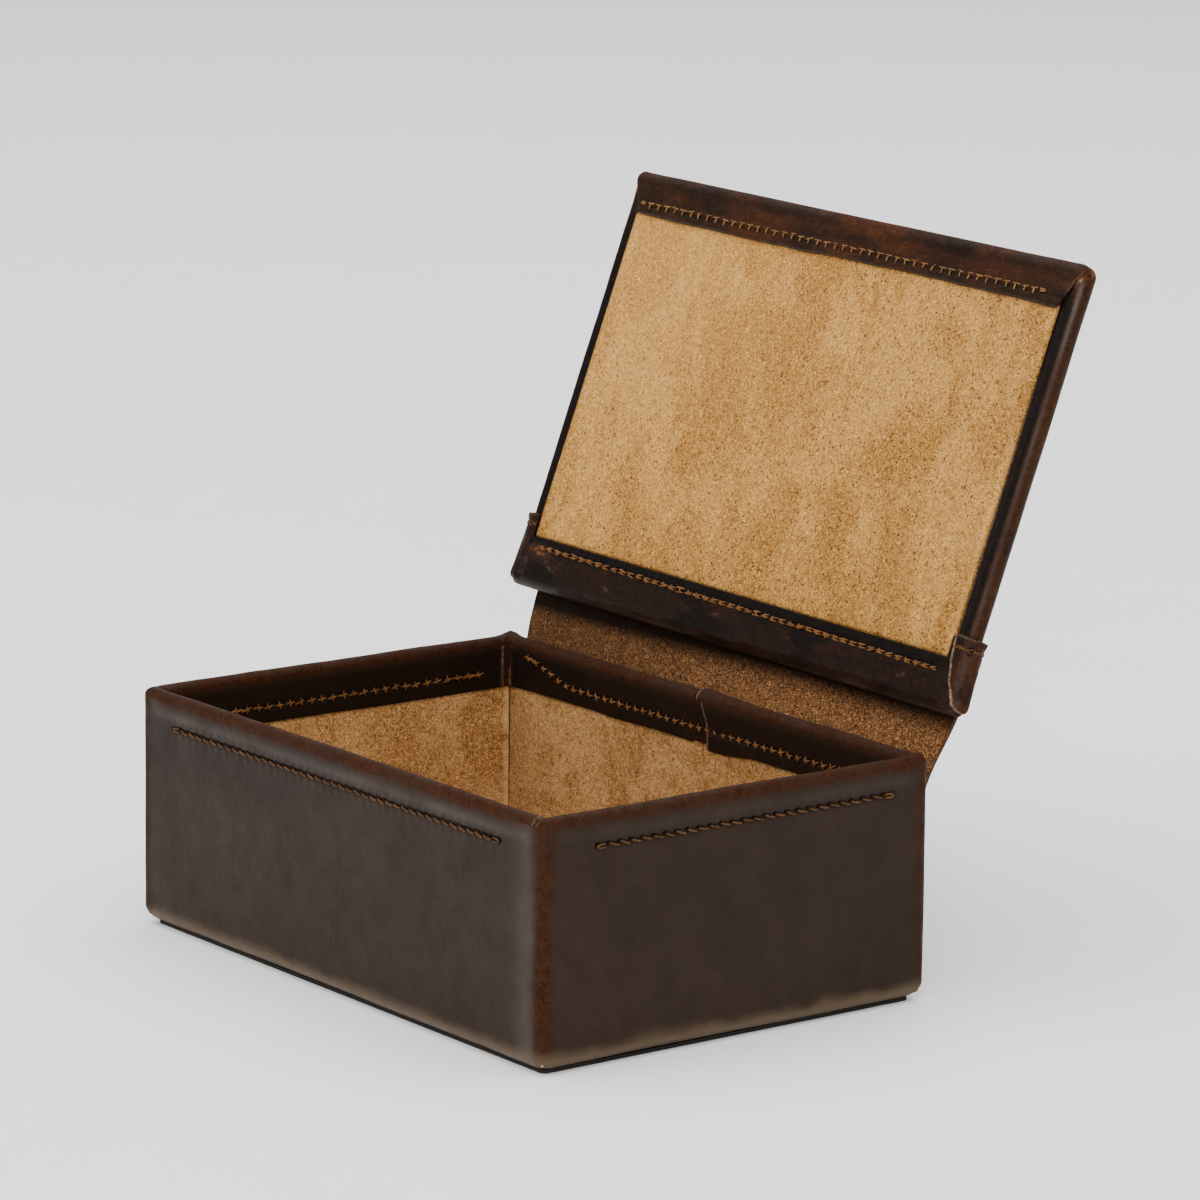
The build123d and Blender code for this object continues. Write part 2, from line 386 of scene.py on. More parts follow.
def dark_leather(name, body_color, rub_color, gloss, mottle, scuffs):
    """Oiled pull-up leather: mottled, darker where waxed, browner where it is rubbed, with painted sheen,
    painted highlights and painted shade laid in where the marks say.
    """
    s = Shader(name, Specular_IOR_Level=0.065)
    cloud = s.noise(38, 4, 0.6, warp=0.6)
    blotch = s.noise(8, 5, 0.68, warp=0.5)
    vein = s.noise(2.4, 6, 0.72, (1 - 0.55 * mottle, 1, 1), warp=1.4)
    fine = s.noise(0.9, 4, 0.7, warp=0.5)
    color = s.lay(body_color, shade(body_color, 1.27), cloud, 0.3, 0.7)
    color = s.lay(color, shade(body_color, 0.5), blotch, 0.35, 0.72, 0.0, 0.24 + 0.46 * mottle)
    color = s.lay(color, shade(rub_color, 0.8), vein, 0.46, 0.74, 0.0, 0.25 + 0.65 * mottle)
    rubbed = s.times(s.mark("rub"), s.ramp(blotch, 0.25, 0.6, 0.55, 1.0))
    rub_tone = s.lay(shade(rub_color, 0.5), shade(rub_color, 1.2), vein, 0.35, 0.66)
    rub_tone = s.lay(rub_tone, rgb(124, 66, 26), fine, 0.54, 0.7, 0.0, 0.04 + 0.34 * scuffs)
    color = s.mix(rubbed, color, rub_tone)
    # Paler tan at the foot of the walls: worn leather, made paler still as a painted reflection of the white
    # floor
    color = s.mix(s.times(s.mark("pale"), s.ramp(fine, 0.2, 0.8, 0.7, 1.0)), color, rgb(90, 74, 56))
    # Painted sheen and painted highlights: a cool grey laid where the mark for them is set
    color = s.mix(s.mark("painted_sheen"), color, rgb(106, 101, 98))
    patch = s.ramp(s.noise(30, 2), 0.42, 0.62)
    scuff = s.times(s.ramp(s.noise(2.6, 6, 0.78, warp=2.5), 0.66, 0.71), patch)
    color = s.mix(s.times(scuff, scuffs), color, rgb(96, 46, 18))
    # Near black where the darkening mark is set: painted shade in seam grooves, holes, creases and gaps and
    # under edges, and real stains and dye
    color = s.mix(s.mark("shade_and_stain"), color, s.lay(rgb(9, 6, 5), rgb(24, 14, 9), vein, 0.4, 0.7))
    color = s.mix(s.mark("raw"), color, s.lay(rgb(78, 46, 24), rgb(168, 142, 116), fine, 0.35, 0.65))
    rough = s.ramp(blotch, 0.3, 0.75, gloss - 0.05, gloss + 0.1)
    rough = s.math("ADD", rough, s.ramp(fine, 0.3, 0.7, -0.04, 0.06))
    rough = s.math("MAXIMUM", rough, s.times(s.mark("shade_and_stain"), 0.55))
    rough = s.math("ADD", rough, s.times(rubbed, 0.3))
    s.relief(
        (s.ramp(s.cells(2.1, "DISTANCE_TO_EDGE"), 0.0, 0.2), 0.015 + 0.02 * mottle),
        (s.ramp(s.cells(0.7), 0.15, 0.75, 1.0, 0.0), 0.014),
        (s.noise(1.5, 4, 0.65, warp=0.8), 0.02 + 0.02 * mottle),
        (s.noise(0.35, 3, 0.6), 0.01),
        (s.noise(5, 4, 0.6), 0.07 + 0.05 * mottle),
    )
    return s.finish(color, rough)


def nap(name, deep, middle, light, coarse, speck=0.0, pores=0.0, fibre=0.55, mottle=26.0, lean=(1, 1, 1)):
    """Suede: short fibres lying in patches, with painted shade in the hollows of the nap, and pores or black
    specks.
    """
    s = Shader(name, Specular_IOR_Level=0.08, Sheen_Weight=0.08, Sheen_Roughness=0.5)
    s.surface.inputs["Sheen Tint"].default_value = light
    lie = s.noise(mottle, 5, 0.62, lean, warp=1.0)
    patch = s.noise(5.5, 5, 0.65, warp=0.8)
    hair = s.noise(fibre, 3, 0.7, warp=1.8)
    tuft = s.noise(fibre * 2.4, 4, 0.75, warp=2.4)
    color = s.lay(middle, s.mix(0.5, middle, light), lie, 0.38, 0.62)
    color = s.lay(color, s.mix(0.4, deep, middle), patch, 0.44, 0.7, 0.0, 0.25)
    # Painted shade: the deep colour laid in the hollows of the tufts and hairs, whose noise the bump also
    # uses as height
    color = s.lay(color, deep, tuft, 0.34, 0.48, 0.8 * coarse, 0.0)
    color = s.lay(color, deep, hair, 0.4, 0.48, coarse, 0.0)
    color = s.lay(color, shade(light, 1.12), hair, 0.52, 0.6, 0.0, coarse)
    if pores:
        chosen = s.ramp(s.noise(3.5, 1), 0.38, 0.46)
        holes = s.times(s.ramp(s.cells(2.2), 0.15, 0.23, 1.0, 0.0), chosen)
        color = s.mix(s.times(holes, pores), color, shade(deep, 0.3))
    if speck:
        reach = s.math("ADD", s.cells(17.0), s.ramp(hair, 0.2, 0.8, -0.02, 0.02))
        color = s.mix(s.times(s.ramp(reach, 0.028, 0.045, 1.0, 0.0), speck), color, rgb(28, 22, 18))
    # Darker where the mark says: painted shade under the band, on the back panel and on the lid's right, and
    # dark lines where panels meet
    color = s.mix(s.mark("shade_and_stain"), color, rgb(30, 20, 12))
    # Paler where the mark says: frayed and cut edges, and painted light towards the lid's upper left
    color = s.mix(s.mark("pale"), color, shade(light, 1.35))
    s.relief((s.noise(4.0, 4, 0.65, warp=0.5), 0.15), (tuft, 0.45 * coarse), (hair, 0.3 * coarse))
    return s.finish(color, 0.92)


def flesh_leather(name):
    """The strap: napped fibres on the flesh side, smooth waxed grain where the mark grain is set."""
    s = Shader(name, Specular_IOR_Level=0.06)
    cloud = s.noise(24, 4, 0.6, warp=0.8)
    tuft = s.noise(1.8, 4, 0.75, warp=2.4)
    hair = s.noise(0.85, 3, 0.75, warp=2.0)
    flesh = s.lay(rgb(92, 60, 36), rgb(122, 82, 50), cloud, 0.3, 0.7)
    # Painted shade: dark brown laid in the hollows of the tufts and hairs, whose noise the bump also uses as
    # height
    flesh = s.lay(flesh, rgb(34, 18, 10), tuft, 0.38, 0.5, 0.8, 0.0)
    flesh = s.lay(flesh, rgb(40, 20, 10), hair, 0.38, 0.48, 0.8, 0.0)
    flesh = s.lay(flesh, rgb(206, 148, 94), hair, 0.53, 0.62, 0.0, 0.95)
    cut = s.lay(rgb(50, 28, 14), rgb(112, 68, 34), hair, 0.35, 0.65)
    flesh = s.mix(s.mark("raw"), flesh, cut)
    waxed = s.lay(rgb(38, 28, 20), rgb(52, 38, 28), s.noise(20, 4, 0.6, warp=0.6), 0.3, 0.7)
    waxed = s.lay(waxed, rgb(64, 34, 14), s.noise(2.4, 6, 0.72, warp=1.4), 0.48, 0.74, 0.0, 0.7)
    grain = s.mark("grain")
    color = s.mix(grain, flesh, waxed)
    # Near black where the darkening mark is set: the painted shadow of the lid and the seams' painted shade
    color = s.mix(s.mark("shade_and_stain"), color, rgb(20, 14, 10))
    fibres = s.times(s.math("ADD", tuft, s.times(hair, 0.6)), s.math("SUBTRACT", 1.0, grain))
    s.relief((s.noise(5, 3, 0.6), 0.08), (fibres, 0.5), (s.noise(0.4, 3, 0.6), 0.02))
    return s.finish(color, s.ramp(grain, 0.0, 1.0, 0.9, 0.45))


def thread_stuff(name, base):
    """Waxed golden-brown thread: two twisted plies, with painted shade between them and where they go into
    the holes, and dirt gathered in the wax.
    """
    s = Shader(name, Specular_IOR_Level=0.15)
    fuzz = s.noise(0.22, 3, 0.7)
    color = s.lay(shade(base, 0.75), shade(base, 1.2), s.noise(3.0, 3, 0.6), 0.3, 0.7)
    color = s.lay(color, shade(base, 1.6), fuzz, 0.5, 0.8, 0.0, 0.5)
    color = s.mix(s.mark("shade_and_stain"), color, shade(base, 0.14))
    s.relief((fuzz, 0.04))
    return s.finish(color, 0.55)


def board_stuff(name):
    """Grey-brown pressed board with flecks of fibre."""
    s = Shader(name, Specular_IOR_Level=0.2)
    color = s.mix(s.noise(2.0, 6, 0.7), rgb(118, 104, 86), rgb(158, 142, 118))
    flecks = s.noise(0.8, 4, 0.8, stretch=(1, 4, 4))
    color = s.lay(color, rgb(84, 72, 58), flecks, 0.62, 0.75, 0.0, 0.6)
    s.relief((s.noise(0.6, 4, 0.7), 0.05))
    return s.finish(color, 0.9)


def sole_stuff(name):
    """Matt black base sheet with a fine pebble."""
    s = Shader(name, Specular_IOR_Level=0.3)
    color = s.mix(s.noise(8, 4, 0.6), rgb(14, 12, 11), rgb(27, 23, 20))
    s.relief((s.cells(0.9), 0.04), (s.noise(0.4, 3, 0.6), 0.02))
    return s.finish(color, 0.75)


LEATHER_DARK = dark_leather("leather_dark", rgb(39, 29, 22), rgb(52, 26, 10), 0.38, 0.0, 0.25)
LEATHER_LID = dark_leather("leather_lid", rgb(32, 20, 12), rgb(66, 34, 14), 0.33, 1.0, 0.7)
SUEDE_BOX = nap("suede_box", rgb(76, 44, 18), rgb(160, 112, 62), rgb(224, 178, 116), 0.75,
                speck=0.9, fibre=0.95, mottle=20)
SUEDE_LID = nap("suede_lid", rgb(90, 54, 26), rgb(155, 105, 46), rgb(224, 172, 96), 0.8,
                pores=0.75, fibre=0.8, lean=(1, 0.5, 0.5), mottle=26)
STRAP_HIDE = flesh_leather("strap_hide")
THREAD = thread_stuff("thread_waxed", rgb(92, 60, 30))
THREAD_BRIGHT = thread_stuff("thread_golden", rgb(148, 102, 54))
THREAD_TAN = thread_stuff("thread_tan", rgb(131, 87, 45))
BOARD = board_stuff("board_grey")
SOLE = sole_stuff("sole_black")

# ---- Box: its contour and seams ----

# Zones of the wall cover's section, from the hem under the box to its hidden inner side
HEM, OUTSIDE, RIM, BAND, HIDDEN = range(5)
COLUMN_STEP = 0.62
CORNER_COLUMNS = 10


def side_frame(side):
    """Direction along a wall, left to right seen from outside, and its outward normal."""
    outward = {"front": (0, -1, 0), "right": (1, 0, 0), "back": (0, 1, 0), "left": (-1, 0, 0)}[side]
    outward = np.array(outward, float)
    return np.cross([0, 0, 1.0], outward), outward


def wall_reach(side):
    """Distance from the box's middle to the outer face of a wall."""
    return HALF["left"] if side in ("front", "back") else HALF["front"]


def wall_point(side, along, inset, height):
    """Point of a wall at a distance inward from its outer face."""
    direction, outward = side_frame(side)
    along, reach, height = np.broadcast_arrays(along, wall_reach(side) - np.asarray(inset, float), height)
    upward = np.array([0, 0, 1.0])
    return along[..., None] * direction + reach[..., None] * outward + height[..., None] * upward


def contour(inset, radius):
    """Points of the box's rounded outline at this inset, anticlockwise from the front left corner."""
    rows = []
    for side in SIDES:
        direction, outward = side_frame(side)
        half = HALF[side] - inset - radius
        reach = wall_reach(side) - inset
        share = np.linspace(-1, 1, int(2 * HALF[side] / COLUMN_STEP))
        if side == "back":
            share = share - 0.6 * share * bump(share, 0.06)
        straight = half * share[:, None] * direction + reach * outward
        turn = np.linspace(0, math.pi / 2, CORNER_COLUMNS + 2)[1:-1, None]
        centre = half * direction + (reach - radius) * outward
        rows += [straight, centre + radius * (np.sin(turn) * direction + np.cos(turn) * outward)]
    return np.concatenate(rows)


def column_sides():
    """For each column of the contour, the index of its side."""
    counts = [int(2 * HALF[side] / COLUMN_STEP) + CORNER_COLUMNS for side in SIDES]
    return np.repeat(np.arange(4), counts)


def row_centres(length, middle=0.0):
    """Middles of the stitches in a row of this length."""
    count = int(length // PITCH) + 1
    return (np.arange(count) - (count - 1) / 2) * PITCH + middle


def band_rise(side, along):
    """How far the seam of the back wall's band climbs near its left end, seen from the front."""
    return 6.3 * smooth(along, 68, 97) if side == "back" else np.zeros_like(np.asarray(along, float))


def seam_dent(along, across, centres, depth=0.34, hole=0.7, lift=0.45):
    """Depth of the groove that a seam pulls into leather, and the painted shade in the groove and at its
    holes.
    """
    low, high = centres[0] - PITCH / 2, centres[-1] + PITCH / 2
    inside = smooth(along, low - 1.2, low) * smooth(along, high + 1.2, high)
    groove = depth * bump(across, 1.05) * inside
    phase = (along - low) / PITCH
    beside = (phase - np.round(phase)) * PITCH
    holes = hole * bump(beside, 0.7) * bump(across - lift, 0.5) * inside
    pucker = 0.05 * np.cos(2 * math.pi * phase) * bump(np.abs(across) - 1.9, 1.5) * inside
    hole_shade = bump(beside, 1.0) * bump(across - lift - 0.15, 0.8)
    return groove + holes - pucker, inside * most(bump(across - 0.3, 0.7) * 0.7, hole_shade)


def skin_profile():
    """The wall cover's closed section: inset, height, corner radius and zone of each row."""
    rows = [(inset, COVER_LOW, CORNER_RADIUS, HEM) for inset in np.linspace(HEM_INSET, BOTTOM_RADIUS, 8)]
    for turn in np.linspace(0, math.pi / 2, 12)[1:]:
        inset = BOTTOM_RADIUS * (1 - math.sin(turn))
        rows.append((inset, COVER_LOW + BOTTOM_RADIUS * (1 - math.cos(turn)), CORNER_RADIUS, OUTSIDE))
    for stretch in ((8.0, 65.5, 1.4), (65.8, 73.2, 0.31), (73.6, BOX_HEIGHT - RIM_RADIUS, 0.7)):
        rows += [(0, height, CORNER_RADIUS, OUTSIDE) for height in np.arange(*stretch)]
    for turn in np.linspace(0, math.pi, 21):
        radius = CORNER_RADIUS + (INNER_CORNER_RADIUS - CORNER_RADIUS) * turn / math.pi
        height = BOX_HEIGHT - RIM_RADIUS + RIM_RADIUS * math.sin(turn)
        rows.append((RIM_RADIUS * (1 - math.cos(turn)), height, radius, RIM))
    inside = [(WALL, height) for height in np.arange(BOX_HEIGHT - RIM_RADIUS - 0.45, BAND_LOW + 0.7, -0.42)]
    inside += [(WALL - 0.1, BAND_LOW + 0.35), (WALL - 0.45, BAND_LOW + 0.08), (WALL - 1.0, BAND_LOW)]
    rows += [(inset, height, INNER_CORNER_RADIUS, BAND) for inset, height in inside]
    hidden = [(WALL - LEATHER, BAND_LOW), (WALL - LEATHER, BOX_HEIGHT - LEATHER),
              (LEATHER, BOX_HEIGHT - LEATHER), (LEATHER, COVER_LOW + LEATHER)]
    rows += [(inset, height, INNER_CORNER_RADIUS, HIDDEN) for inset, height in hidden]
    rows.append((HEM_INSET, COVER_LOW + LEATHER, CORNER_RADIUS, HIDDEN))
    return rows


def corner_sweep(points, corner):
    """Distance of points from an inner corner of the box, and how far round it they lie."""
    offset = points[..., :2] - np.array(corner) * (HALF["front"] - WALL, HALF["left"] - WALL)
    return np.linalg.norm(offset, axis=-1), offset[..., 0] * corner[1] - offset[..., 1] * corner[0]


def wall_grid():
    """The wall cover's plain surface, and where on the box each of its points lies."""
    profile = skin_profile()
    points = np.array([contour(inset, radius) + [0, 0, z] for inset, z, radius, _ in profile])
    zone = np.array([row[3] for row in profile])[:, None]
    side = column_sides()
    along = np.zeros(points.shape[:2])
    for index, name in enumerate(SIDES):
        chosen = side == index
        along[:, chosen] = points[:, chosen] @ side_frame(name)[0]
    to_corner = np.hypot(HALF["front"] - np.abs(points[..., 0]), HALF["left"] - np.abs(points[..., 1]))
    return SimpleNamespace(points=points, height=points[..., 2], along=along, to_corner=to_corner, side=side,
                           on_front=(side == SIDES.index("front"))[None, :],
                           on_back=(side == SIDES.index("back"))[None, :], zone=zone, visible=zone < HIDDEN)


def press_wall_seams(skin):
    """How far the leather stands out: its own waves, the dents of the seams and the swell above them."""
    zone, height = skin.zone, skin.height
    out = 0.16 * fractal(skin.points, 34, 3, 1) + 0.035 * fractal(skin.points, 7, 2, 2)
    out = np.where(zone == HEM, 0.3 * out, out)
    # The painted shade in the seams' grooves and holes, gathered for the wear marks
    skin.stain = np.zeros_like(out)
    for index, name in enumerate(SIDES):
        here = (skin.side == index)[None, :]
        dent, dark = seam_dent(skin.along, height - SEAM_Z, row_centres(*WALL_ROWS[name]))
        outer = here & (zone == OUTSIDE)
        out -= np.where(outer, dent, 0)
        skin.stain = most(skin.stain, np.where(outer, dark, 0))
        across = height - BAND_SEAM_Z - band_rise(name, skin.along)
        dent, _ = seam_dent(-skin.along, across, -row_centres(*BAND_ROWS[name])[::-1], 0.35, 0.2, 0.0)
        out -= np.where(here & (zone == BAND), dent, 0)
        swell = bump(height - 74.5, 3.0) * smooth(skin.to_corner, 3, 16)
        out += np.where(outer, 0.22 * swell, 0)
    return out


def lap_wall_ends(skin):
    """How far the leather stands out where the cover's ends meet on the back wall, one over the other."""
    lap_x = np.where(skin.zone == BAND, 4.7 - 3.6 * smooth(skin.height, 68, 78.5), -1.2)
    skin.past = skin.points[..., 0] - lap_x
    skin.lapped = skin.on_back & skin.visible & (skin.zone > HEM)
    skin.lap_edge = np.where(skin.lapped, bump(skin.past - 0.1, 0.5), 0)
    return np.where(skin.lapped, 0.8 * smooth(skin.past, -0.3, 0.3) * smooth(skin.past, 30, 4), 0)


def cut_band_edge(skin):
    """The lower edge of the band inside: cut in slow waves, with a step where the cover's ends lap."""
    skin.low_edge = (skin.zone == BAND) * smooth(skin.height, 65.5, 63)
    skin.points[..., 2] += 0.3 * skin.low_edge * fractal(skin.points * [1, 1, 0], 22, 3, 8)
    notch = smooth(skin.past, -9.5, -8.0) * smooth(skin.past, 0.2, -0.6) * 0.9
    notch = notch - smooth(skin.past, -0.4, 0.4) * smooth(skin.past, 26, 8) * 0.9
    skin.points[..., 2] += np.where(skin.lapped, notch * skin.low_edge, 0)


def fold_wall_corners(skin):
    """Folds pressed into the leather at the inner corners, and the little peaks that they make."""
    inner = ((skin.zone == BAND) | ((skin.zone == RIM) & (skin.height > 78))) * skin.visible
    for corner, folds in CORNER_FOLDS:
        distance, sweep = corner_sweep(skin.points, corner)
        near = bump(distance, 9)
        inward = np.array([-corner[0], -corner[1], 0]) / math.sqrt(2)
        for fold in folds:
            ridge = bump(sweep - fold - 0.05 * (skin.height - 71), 0.95) * near * inner
            skin.points = skin.points + ridge[..., None] * inward * 0.75
    raised = skin.visible & (skin.height > 77)
    for hand, inset, width, peak in ((-1, 2.6, 3.2, 1.25), (1, 3.0, 2.4, 0.7)):
        off_x = skin.points[..., 0] - hand * (HALF["front"] - inset)
        off_y = skin.points[..., 1] - HALF["left"] + inset
        skin.points[..., 2] += peak * bump(np.hypot(off_x, off_y), width) * raised


def snip_wall_rim(skin):
    """Slit in the rim at the front right corner, where the cover was snipped to turn it in."""
    slit_x = skin.points[..., 0] - (HALF["front"] - 4.6)
    snip = (skin.points[..., 1] < -HALF["left"] + 6) & (skin.height > 77.6) & skin.visible
    skin.cut = bump(slit_x, 0.75) * snip
    skin.cut_edge = bump(np.abs(slit_x) - 0.9, 0.5) * snip
    skin.points[..., 2] -= 1.15 * skin.cut


def wall_shape():
    """The wall cover's surface, and the places on it that its wear follows."""
    skin = wall_grid()
    rim_wave = 0.5 * fractal(skin.points * [1, 1, 0], 16, 3, 5)
    out = press_wall_seams(skin) + lap_wall_ends(skin)
    skin.points = skin.points + grid_normals(skin.points, wrap=True) * (out * skin.visible)[..., None]
    skin.points[..., 2] += 0.28 * rim_wave * (smooth(skin.height, 75.5, 79.5) * skin.visible)
    cut_band_edge(skin)
    fold_wall_corners(skin)
    snip_wall_rim(skin)
    return skin


def wall_wear(skin):
    """Marks of the wall cover: rubbed on the rim and the corners, darker inside away from the rim, painted
    shade in the seams and the slit, a painted shadow beside the lap, painted sheen and highlights on the
    walls and the rim, bare at cut edges.
    """
    points, zone, height = skin.points, skin.zone, skin.height
    x = points[..., 0]
    wander = fractal(points, 12, 3, 11)
    rim_rub = smooth(height, 74.6, 78.0) * np.where(zone == BAND, smooth(height, 73.5, 78.5), 1)
    post = smooth(skin.to_corner + 1.6 * wander, 7.4, 2.4) * (zone == OUTSIDE)
    rub = unit(rim_rub * (0.92 + 0.25 * wander) + post * (0.85 + 0.4 * wander))
    # The foot of the walls: worn paler, and paler still as a painted reflection of the white floor
    foot_wear_and_reflection = (zone <= OUTSIDE) * smooth(height, 8.5 + 2 * wander, 3.5)
    shade_and_stain = np.where(zone == BAND, 0.6 * smooth(height, 77.5, 74.0), 0)
    fold_raw = np.zeros_like(shade_and_stain)
    for corner, fold in FRAYED_FOLDS:
        distance, sweep = corner_sweep(points, corner)
        rubbed = bump(sweep - fold, 2.2) * bump(distance, 7) * (zone == BAND)
        shade_and_stain = shade_and_stain * (1 - 0.85 * rubbed)
        rub = most(rub, rubbed)
        frayed = most(bump(sweep - fold - 1.7, 0.45), bump(sweep - fold + 1.5, 0.45)) * rubbed ** 0.3
        threads = unit(0.4 + 1.2 * fractal(points * [1, 1, 0.4], 2.4, 3, 15))
        fold_raw = most(fold_raw, 0.55 * frayed * threads)
    shade_and_stain = shade_and_stain + 0.28 * (zone == OUTSIDE) * skin.on_front * bump(height - 62.5, 9) * smooth(x, 30, -60)
    # Painted shade in the seams and in the slit at the rim
    shade_and_stain = most(shade_and_stain, skin.stain, skin.cut * 0.9)
    lap_raw = skin.lap_edge * (0.85 + 0.5 * fractal(points, 2.2, 2, 14)) * np.where(zone == OUTSIDE, 0.35, 1)
    # Painted shadow on the lower layer beside the edge of the lap
    lap_shadow = np.where(skin.lapped, 0.8 * bump(skin.past + 1.0, 0.6), 0)
    shade_and_stain = most(shade_and_stain, lap_shadow) * (1 - unit(lap_raw))
    scuffed = np.where(skin.lapped & (zone == BAND), bump(skin.past + 4.5, 4.5) * skin.low_edge, 0)
    shade_and_stain = shade_and_stain * (1 - 0.8 * scuffed)
    rub = unit(rub + scuffed)
    raw = unit(most(skin.cut_edge * 0.2, fold_raw, lap_raw))
    outside = (zone == OUTSIDE) * (1 - post)
    # Painted sheen: a cool grey band between the seam and the rim, beside the corner posts and at the
    # front's left end, and a painted highlight along the rim's crest
    painted_sheen = (0.05 + 0.1 * skin.on_front) * bump(height - 73.2, 1.7) * smooth(skin.to_corner, 4, 12)
    post_sheen = (0.02 + 0.13 * smooth(x, 20, 95)) * bump(skin.to_corner - 8.5, 5.5)
    painted_sheen = painted_sheen + skin.on_front * (post_sheen + 0.14 * bump(height - 75, 8) * smooth(x, -94, -108))
    painted_sheen = outside * painted_sheen * (0.8 + 0.5 * wander) + 0.05 * bump(height - 80.1, 0.3) * (zone == RIM)
    return {"rub": rub, "pale": foot_wear_and_reflection, "painted_sheen": unit(painted_sheen), "shade_and_stain": shade_and_stain, "raw": raw}


def build_wall_skin():
    """The box's leather: hem, bottom roll, walls, rolled rim and the band turned down inside."""
    skin = wall_shape()
    rows, columns = skin.points.shape[:2]
    first = np.arange(columns)
    last = first + (rows - 1) * columns
    closing = np.stack([last, np.roll(last, -1), np.roll(first, -1), first], -1)
    faces = np.concatenate([grid_faces(rows, columns, wrap=True), closing])
    make_piece("wall_leather", skin.points, faces, LEATHER_DARK, "box", "wall_cover",
               wall_wear(skin))


# ---- Suede panels ----


def build_box_linings():
    """Suede sheets glued to the four walls and the floor."""
    floor = Vector(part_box("base_lining")[1]).z / MM
    for side in SIDES:
        node = side + "_lining"
        half = HALF[side] - (SUEDE_INSET if side in ("front", "back") else SUEDE_INSET + 0.05)
        ends = half - np.array([0.0, 0.25, 0.5, 0.8, 1.2, 1.7, 2.3])
        along = np.concatenate([-ends, np.linspace(3.0 - half, half - 3.0, int(half)), ends[::-1]])
        height = np.linspace(floor + 0.1, BAND_LOW + 0.5, 110)
        a, h = np.meshgrid(along, height)
        base = wall_point(side, a, SUEDE_INSET, h)
        wave = 0.10 * fractal(base, 24, 3, 21) + 0.04
        tuck = 0.5 * smooth(h, BAND_LOW - 1.2, BAND_LOW + 0.4)
        face = wall_point(side, a, SUEDE_INSET - 0.05 + np.clip(wave, -0.05, 0.2) - tuck, h)
        under = wall_point(side, a, WALL - LEATHER, h)
        to_end = half - np.abs(a)
        worn = 0.5 + 0.6 * fractal(base * [0.3, 0.3, 1], 5, 3, 23)
        line = 0.85 * smooth(to_end, 0.45, 0.15) * unit(worn + 0.35)
        # Dark line where the panels meet in the corners, and a painted shadow under the band's edge along
        # the top
        shade_and_stain = line + 0.35 * smooth(h, BAND_LOW - 1.6, BAND_LOW)
        if side == "left":
            level = h - KNOT_Z
            knot = bump(level, 0.7) * smooth(to_end, 2.3, 1.2) + bump(to_end - 0.9, 0.4) * bump(level, 1.4)
            shade_and_stain += 0.9 * knot * (a < 0)
        # Painted shade: the back panel darker, and the left one a little, for the light each gets
        shade_and_stain += {"back": 0.2, "left": 0.06}.get(side, 0.0)
        pale = 0.6 * smooth(to_end, 3.1, 1.4) * unit(worn) * (side in ("left", "right"))
        marks = {"shade_and_stain": (unit(shade_and_stain)[:, ::-1], 0.0), "pale": (pale[:, ::-1], 0.0)}
        sheet_piece(side + "_suede", face[:, ::-1], under[:, ::-1], SUEDE_BOX, "box", node, marks)
    half_x, half_y = HALF["front"] - SUEDE_INSET, HALF["left"] - SUEDE_INSET
    x, y = np.meshgrid(np.linspace(-half_x, half_x, 160), np.linspace(-half_y, half_y, 110))
    to_wall = np.minimum(half_x - np.abs(x), half_y - np.abs(y))
    top = xyz(x, y, floor - 0.06 + 0.06 * fractal(xyz(x, y, 0.0), 26, 3, 31))
    under = xyz(x, y, floor - 1.0)
    marks = {"shade_and_stain": (0.7 * smooth(to_wall, 1.0, 0.1), 0.0), "pale": (0.0, 0.0)}
    sheet_piece("floor_suede", top, under, SUEDE_BOX, "box", "base_lining", marks)


def build_lid_lining():
    """Suede panel of the lid, a little uneven under the turned leather at its edges."""
    us = np.linspace(*SUEDE_SPAN, 210)
    u, v = np.meshgrid(us, np.linspace(SUEDE_REAR + 0.1, SUEDE_FRONT - 1.3, 130))
    edge = np.minimum(-outside_suede(u), np.minimum(v - SUEDE_REAR, SUEDE_FRONT - v))
    dip = 0.35 * smooth(edge, 2.0, 0.2) - 0.05
    w = 0.6 + dip + 0.07 * fractal(xyz(u, v, 0.0), 30, 3, 41)
    top = lid_place(xyz(u, v, most(w, 0.5)))
    under = lid_place(xyz(u, v, LEATHER))
    # Darker along the panel's edges, and painted shade towards the right
    shade_and_stain = 0.3 * smooth(edge, 0.7, 0.05) + 0.07 * smooth(u, 10, 80)
    pale = 0.2 * bump(SUEDE_SPAN[1] - u - 1.6, 0.8) * smooth(v, 92, 60)
    # Painted light towards the upper left
    pale = pale + 0.15 * smooth(u, 25, -85) * smooth(v, 40, 120)
    marks = {"shade_and_stain": (shade_and_stain, 0.0), "pale": (pale, 0.0)}
    sheet_piece("lid_suede", top, under, SUEDE_LID, "lid", "lid_lining", marks)


# ---- Lid leather ----


def lines(*stretches):
    """Increasing grid lines from (start, end, step) stretches."""
    parts = [np.linspace(a, b, max(2, int(round((b - a) / step)) + 1)) for a, b, step in stretches]
    return np.unique(np.round(np.concatenate(parts), 4))


def on_slab(sharp, low, high, radius):
    """Where points of a sharp-edged slab lie on the rounded one, and the outward normals there."""
    core = np.clip(sharp, np.asarray(low) + radius, np.asarray(high) - radius)
    normal = normed(sharp - core)
    return core + normal * radius, normal


